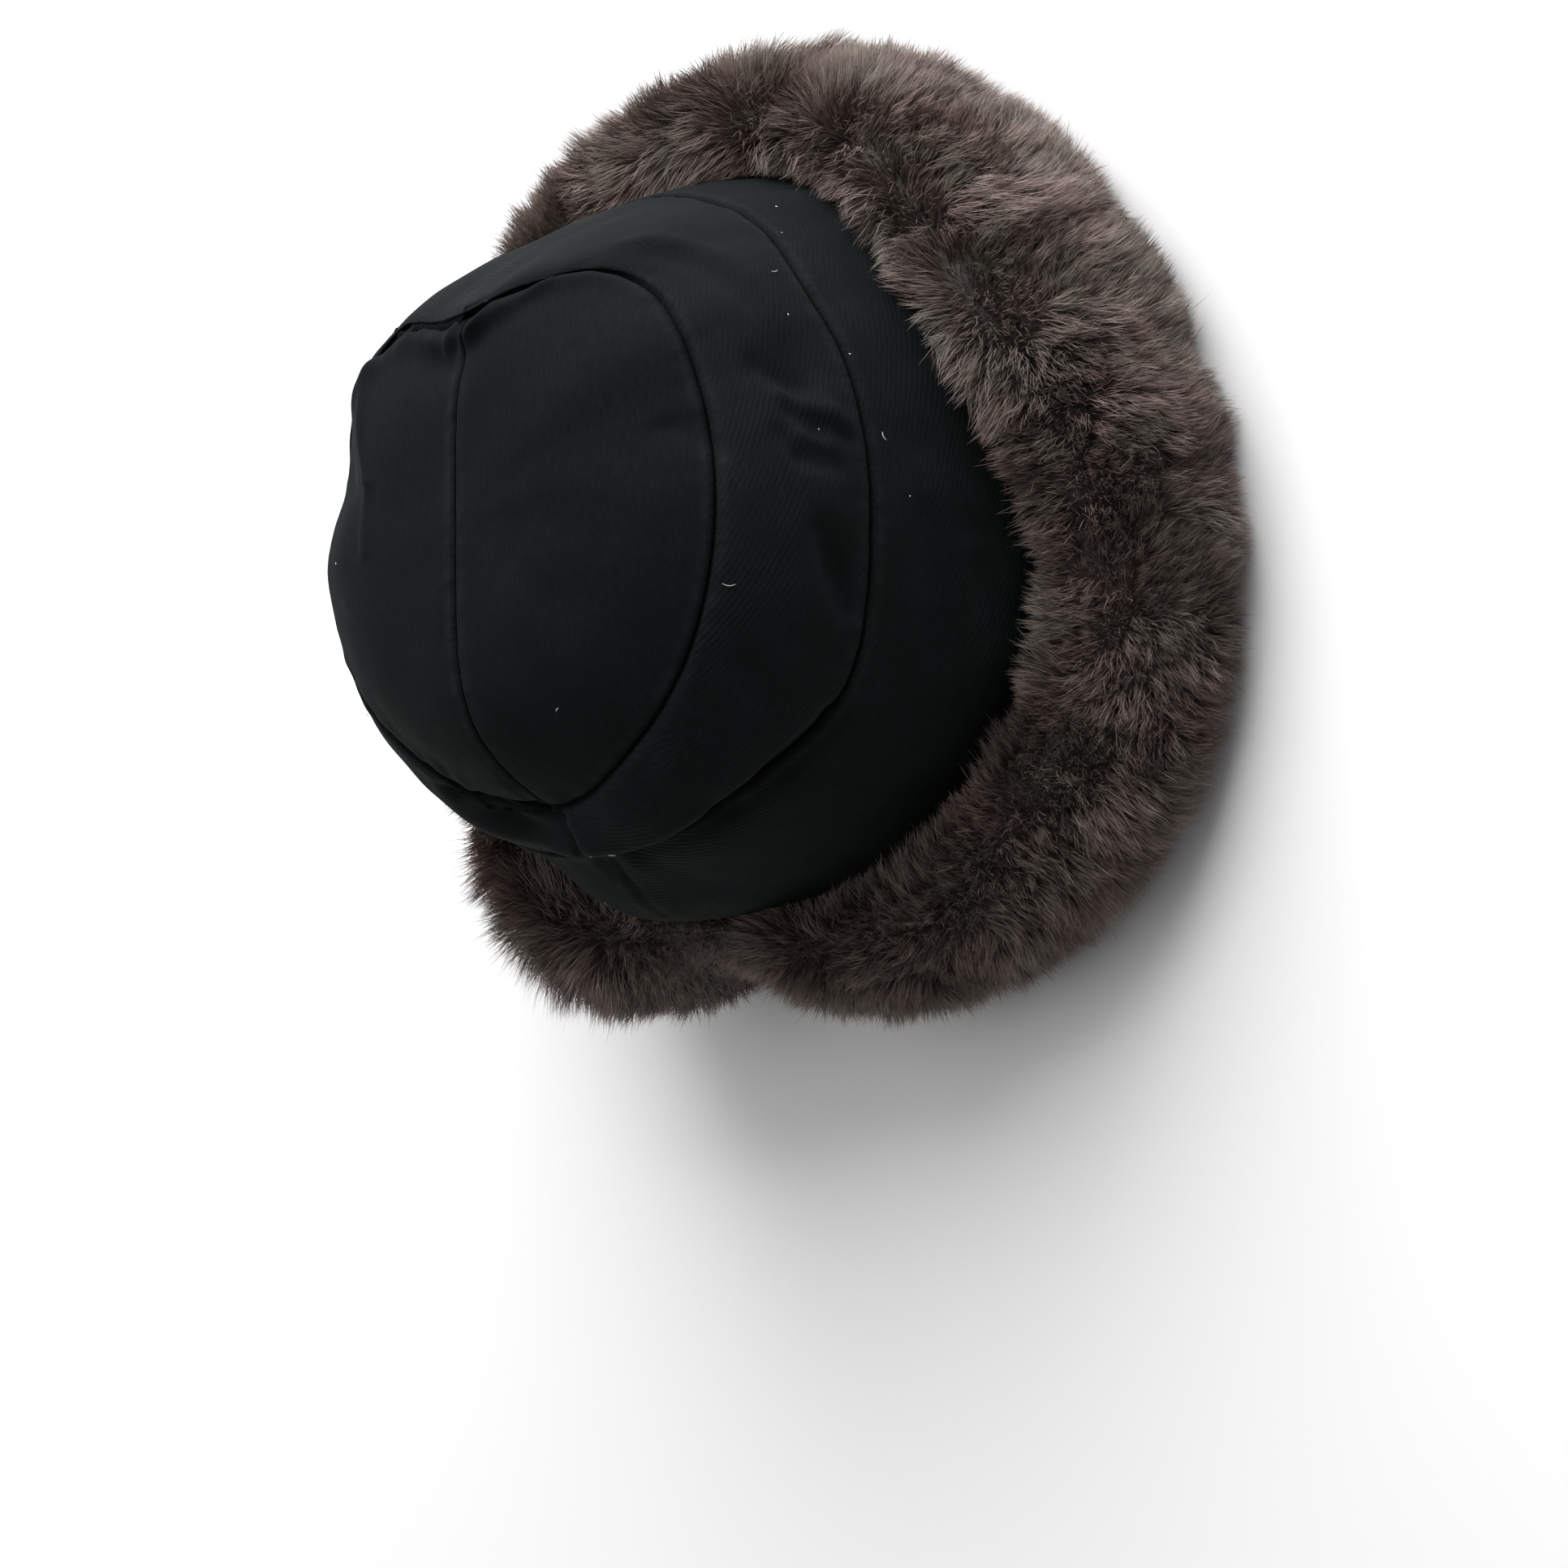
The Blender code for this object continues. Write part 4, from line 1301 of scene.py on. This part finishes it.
    def clear_of_crown(self, points: Array, clearance: float) -> Array:
        """Points pushed out of the crown: each keeps at least the crown's radius at its height and azimuth.

        The crown's radius is read from a table by azimuth and height, worked out once from its surface.
        """
        azimuth_table = np.arange(0, 360, 3.0)
        heights = np.linspace(0.0, self.crown.height * 0.75, 90)
        level = np.linspace(1.4, 3.0, 120)
        grid_azimuth, grid_level = np.meshgrid(azimuth_table, level, indexing="ij")
        face = self.crown.surface(grid_azimuth, grid_level)
        radius = np.hypot(face[..., 0], face[..., 1])
        columns = zip(face[:, ::-1, 2], radius[:, ::-1])
        table = np.stack([np.interp(heights, column_up, column_out) for column_up, column_out in columns])
        azimuth = np.mod(np.degrees(np.arctan2(-points[..., 0], -points[..., 1])), 360.0) / 3.0
        low = np.floor(azimuth).astype(int) % len(azimuth_table)
        share = azimuth - np.floor(azimuth)
        at_height = np.clip(points[..., 2] / heights[1], 0, len(heights) - 1.001)
        row = np.floor(at_height).astype(int)
        within = at_height - row
        high = (low + 1) % len(azimuth_table)
        near = table[low, row] * (1 - within) + table[low, row + 1] * within
        far = table[high, row] * (1 - within) + table[high, row + 1] * within
        least = near * (1 - share) + far * share + clearance
        distance = np.hypot(points[..., 0], points[..., 1])
        scale = np.where(distance < least, least / np.maximum(distance, 1e-6), 1.0)
        return points * np.stack((scale, scale, np.ones_like(scale)), axis=-1)

    def strand_paths(self) -> tuple[Array, Array, Array, Array]:
        """Paths of all strands after clumping, with their normals, tones and azimuths.

        Roots are spread evenly over the surface by keeping each random place with a chance in proportion to its
        area element. Wisps of a few strands first gather into clumps, and the strands then into their wisps, more
        and more towards the tips.

        Returns:
            Points (n, steps, 3), normals (n, 3), tones (n) and azimuths (n).
        """
        chooser = np.random.default_rng(self.seed)
        tries = int(self.strands * self.most_tries)
        azimuth = chooser.uniform(0.0, 360.0, tries)
        share = chooser.uniform(0.0, 1.0, tries)
        area = self.frames(azimuth, share)[4]
        wanted = np.where(share > self.under_share, self.under_density, 1.0)
        chance = area / np.quantile(area, 0.98) * wanted
        kept = np.flatnonzero(chooser.uniform(0.0, 1.0, tries) < chance)[: self.strands]
        azimuth, share = azimuth[kept], share[kept]
        count = len(kept)
        stray = chooser.normal(0.0, self.strand_turn, (count, 3))
        long = chooser.uniform(0.78, 1.06, count)
        points, normal = self.grow(azimuth, share, long, stray)

        wisp, wisp_azimuth, wisp_share = self.gather(azimuth, share, self.wisps_round, self.wisps_across, 5)
        wisp_count = len(wisp_azimuth)
        wisp_long = chooser.uniform(0.94, 1.06, wisp_count)
        wisp_stray = chooser.normal(0.0, self.wisp_turn, (wisp_count, 3))
        wisp_points, _ = self.grow(wisp_azimuth, wisp_share, wisp_long, wisp_stray)
        clump, clump_azimuth, clump_share = self.gather(
            wisp_azimuth, wisp_share, self.clumps_round, self.clumps_across, 6
        )
        clump_count = len(clump_azimuth)
        clump_long = chooser.uniform(0.94, 1.08, clump_count)
        clump_stray = chooser.normal(0.0, self.clump_turn, (clump_count, 3))
        clump_points, _ = self.grow(clump_azimuth, clump_share, clump_long, clump_stray)
        t = np.array(self.path_shares)[None, :, None]
        wisp_points = wisp_points + (clump_points[clump] - wisp_points) * (self.wisp_pull * t**1.1)
        pull = chooser.uniform(*self.strand_pull, count)[:, None, None]
        points = points + (wisp_points[wisp] - points) * (pull * t**0.9)
        points = points + chooser.normal(0.0, self.unevenness, points.shape) * t
        clump_tone = chooser.normal(0.0, 0.10, clump_count)
        wisp_tone = chooser.normal(0.0, 0.10, wisp_count)
        tone = np.clip(0.5 + chooser.normal(0.0, 0.16, count) + wisp_tone[wisp] + clump_tone[clump[wisp]], 0.02, 0.98)
        points = self.clear_of_crown(points, self.strand_clearance)
        low = 0.0004 + 0.0012 * chooser.uniform(0.0, 1.0, count)[:, None] * t[..., 0]
        points[..., 2] = np.maximum(points[..., 2], low)
        return points, normal, tone, azimuth

    def strand_piece(self, name: str, points: Array, normal: Array, tone: Array,
                     material: Material, chooser: np.random.Generator) -> Piece:
        """Flat tapered strands along their paths, each turned about itself by a random angle but facing outwards.

        The width lies across the path and the turned normal: side = unit(tangent x normal) * cos(a) + lift * sin(a).

        Args:
            name: the piece's name.
            points: paths (n, steps, 3).
            normal: outward normals (n, 3).
            tone: each strand's tone (n).
            material: the fur's finish.
            chooser: source of the random turns and widths.

        Returns:
            The new piece.
        """
        count, steps = points.shape[:2]
        tangent = unit(np.gradient(points, axis=1))
        across = unit(np.cross(tangent, normal[:, None]))
        lift = np.cross(across, tangent)
        turn = chooser.uniform(-1.0, 1.0, count)[:, None, None]
        side = across * np.cos(turn) + lift * np.sin(turn)
        wide = (self.strand_width * chooser.uniform(0.6, 1.25, count))[:, None, None]
        half = side * wide * 0.5 * np.array(self.path_widths)[None, :, None]
        left, right = points - half, points + half
        body = np.stack((left[:, :-1], right[:, :-1]), axis=2)
        patch = Patchwork()
        index = patch.add_points(body)
        tips = patch.add_points(points[:, -1])
        along = np.array(self.path_shares)
        first = np.stack((index[:, :-1, 0], index[:, :-1, 1], index[:, 1:, 1], index[:, 1:, 0]), axis=-1)
        last = np.stack((index[:, -1, 0], index[:, -1, 1], tips), axis=-1)
        low, high = along[:-2], along[1:-1]
        spread = 0.0008
        less, more = tone - spread, tone + spread
        left_tone, right_tone = less[:, None], more[:, None]
        quad_map = np.stack((
            pair(left_tone, low), pair(right_tone, low), pair(right_tone, high), pair(left_tone, high),
        ), axis=2)
        tip_map = np.stack((pair(less, along[-2]), pair(more, along[-2]), pair(tone, np.array(0.999))), axis=1)
        first = first.reshape(-1, 4)
        quad_map = quad_map.reshape(-1, 4, 2)
        patch.add_faces(first, {"Strand": quad_map, "OFBake": quad_map})
        patch.add_faces(last, {"Strand": tip_map, "OFBake": tip_map})
        return patch.build(name, material, closed_body=False)

    def backing(self, material: Material) -> Piece:
        """The lumpy dark ground under the pile, a closed tube right round the brim.

        It lies a little above the strands' roots and closes inside, along the crown and under its edge.
        """
        columns, rows = 240, 44
        azimuth, share = np.meshgrid(np.arange(columns) * 360.0 / columns, np.linspace(0.0, 1.0, rows))
        pile = self.surface(azimuth, share, self.root_depth * self.backing_depth)
        normal = self.frames(azimuth, share)[1]
        lumps = self.flow_noise.layered(pile + 0.9, 0.009, 2)
        pile = pile + normal * (self.lump * lumps)[..., None]
        pile = self.clear_of_crown(pile, self.backing_clearance)
        pile[..., 2] = np.maximum(pile[..., 2], self.backing_floor)
        ring = np.arange(columns) * 360.0 / columns
        inner = []
        for level in (3.0, 2.94, 2.88, 2.82):
            levels = np.full(ring.shape, level)
            inner.append(self.crown.surface(ring, levels) + self.backing_clearance * self.crown.normals(ring, levels))
        edge = inner[0] - self.crown.normals(ring, np.full(ring.shape, 3.0)) * (self.crown.thickness + self.edge_gap)
        drop = np.array((0.0, 0.0, self.edge_gap))
        under = edge - drop
        low = under.copy()
        low[..., 2] = self.fold_under
        closing = np.stack([low, under, inner[0] - drop] + inner[1:])
        grid = np.concatenate((pile, closing), axis=0)
        grid = np.concatenate((grid, grid[:1]), axis=0)
        around = np.linspace(0.0, 1.0, columns + 1)
        down = np.linspace(0.0, 1.0, len(grid))
        # The closing strip along the crown and under its edge gets the bare root colour, darker than the backing under
        # the pile: painted shade in the crevice
        dark = np.where(np.arange(len(grid)) < rows, 0.14, 0.06)
        tone = 0.42 + 0.16 * np.sin(around * 2 * math.pi * 37) * np.cos(around * 2 * math.pi * 11)
        strand = pair(tone, dark[:, None])
        bake = pair(0.005 + 0.99 * around, 0.005 + 0.99 * down[:, None])
        patch = Patchwork()
        index = patch.add_points(grid[:-1])
        patch.add_grid(np.concatenate((index, index[:1])), {"Strand": strand, "OFBake": bake}, True)
        return patch.build("fur_backing", material)

    def build(self, groups: Groups) -> list[Piece]:
        fur = FurFinish().material("brim_fur", groups)
        made = [self.backing(fur)]
        points, normal, tone, azimuth = self.strand_paths()
        chooser = np.random.default_rng(self.seed + 1)
        sector = np.floor(azimuth / 360.0 * self.pieces).astype(int)
        for number in range(self.pieces):
            chosen = np.flatnonzero(sector == number)
            strands = points[chosen], normal[chosen], tone[chosen]
            made.append(self.strand_piece(f"fur_pile_{number + 1}", *strands, fur, chooser))
        for piece in made:
            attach(piece, "root")
            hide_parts("fur_brim")
            report(piece)
        return made


@dataclass(frozen=True)
class Studio:
    """Plain pale floor, soft lights and the camera at the photograph's angle."""

    pixels_per_metre: float = 4200.0
    distance: float = 1.9
    elevation: float = 45.0
    middle_column: float = 1112.0
    middle_row: float = 672.0
    half_image: float = 966.0
    sensor: float = 36.0
    panel_side: float = 2.2
    aim_height: float = 0.06
    sky_strength: float = 0.31
    floor_tones: tuple[float, float] = (0.74, 0.78)
    floor_reach: float = 12.0
    lights: tuple = (("key_light", (0.05, -1.65, 1.10), 100.0), ("top_light", (0.6, -0.2, 1.8), 15.0))

    def camera(self) -> Piece:
        """The camera on the wearer's right and above, rolled until the hat's front is at the top of the picture."""
        angle = math.radians(self.elevation)
        up = np.array((math.sin(angle), 0.0, math.cos(angle)))
        right = np.array((0.0, -1.0, 0.0))
        back = np.array((-math.cos(angle), 0.0, math.sin(angle)))
        target = up * (self.middle_column - self.half_image) / self.pixels_per_metre
        target = target + right * (self.middle_row - self.half_image) / self.pixels_per_metre
        data = bpy.data.cameras.new("camera")
        data.sensor_width = self.sensor
        data.lens = self.sensor * self.pixels_per_metre * self.distance / (2 * self.half_image)
        data.clip_start, data.clip_end = 0.05, 50.0
        camera = show("camera", data)
        turn = Matrix((-up, right, back)).transposed().to_4x4()
        turn.translation = Vector(target + back * self.distance)
        camera.matrix_world = turn
        bpy.context.scene.camera = camera
        return camera

    def panel(self, name: str, spot: tuple[float, float, float], power: float) -> Piece:
        """A square light panel that faces the hat."""
        data = bpy.data.lights.new(name, "AREA")
        data.size = self.panel_side
        data.energy = power
        lamp = show(name, data)
        lamp.location = spot
        lamp.rotation_mode = "QUATERNION"
        lamp.rotation_quaternion = (Vector(spot) - Vector((0.0, 0.0, self.aim_height))).to_track_quat("Z", "Y")
        return lamp

    def floor(self) -> Piece:
        """A wide pale floor with a faint unevenness of tone."""
        material, desk, shader = dress("floor")
        tone = desk.noise(desk.add("ShaderNodeTexCoord").outputs["Object"], 2.0, 2.0)
        darker, paler = ((grey, grey, grey, 1.0) for grey in self.floor_tones)
        desk.put(shader, "Base Color", desk.mix(tone, darker, paler))
        shader.inputs["Roughness"].default_value = 0.9
        shader.inputs["Specular IOR Level"].default_value = 0.1
        mesh = bpy.data.meshes.new("floor")
        corners = ((-1, -1), (1, -1), (1, 1), (-1, 1))
        mesh.from_pydata([(x * self.floor_reach, y * self.floor_reach, 0) for x, y in corners], [], [(0, 1, 2, 3)])
        mesh.materials.append(material)
        floor = show("floor", mesh)
        return floor

    def build(self) -> None:
        """Sets up the camera, the floor, the lights and the pale surroundings."""
        self.camera()
        self.floor()
        for name, spot, power in self.lights:
            self.panel(name, spot, power)
        world = bpy.data.worlds.new("surroundings")
        world.use_nodes = True
        backdrop = world.node_tree.nodes["Background"]
        backdrop.inputs["Color"].default_value = (1.0, 1.0, 1.0, 1.0)
        backdrop.inputs["Strength"].default_value = self.sky_strength
        bpy.context.scene.world = world
        bpy.context.scene.view_settings.view_transform = "Standard"


def main() -> None:
    """Builds the hat's looks and the studio, in order."""
    logging.basicConfig(level=logging.INFO, format="%(name)s: %(message)s")
    groups = {tree.name: tree for tree in (ribbed_weave(), seam_wear_and_shade(), pile_tone())}
    Studio().build()
    crown = Crown()
    CrownCloth(crown).build(groups)
    Lint(crown).build()
    FurRoll(crown).build(groups)


if __name__ == "__main__":
    main()
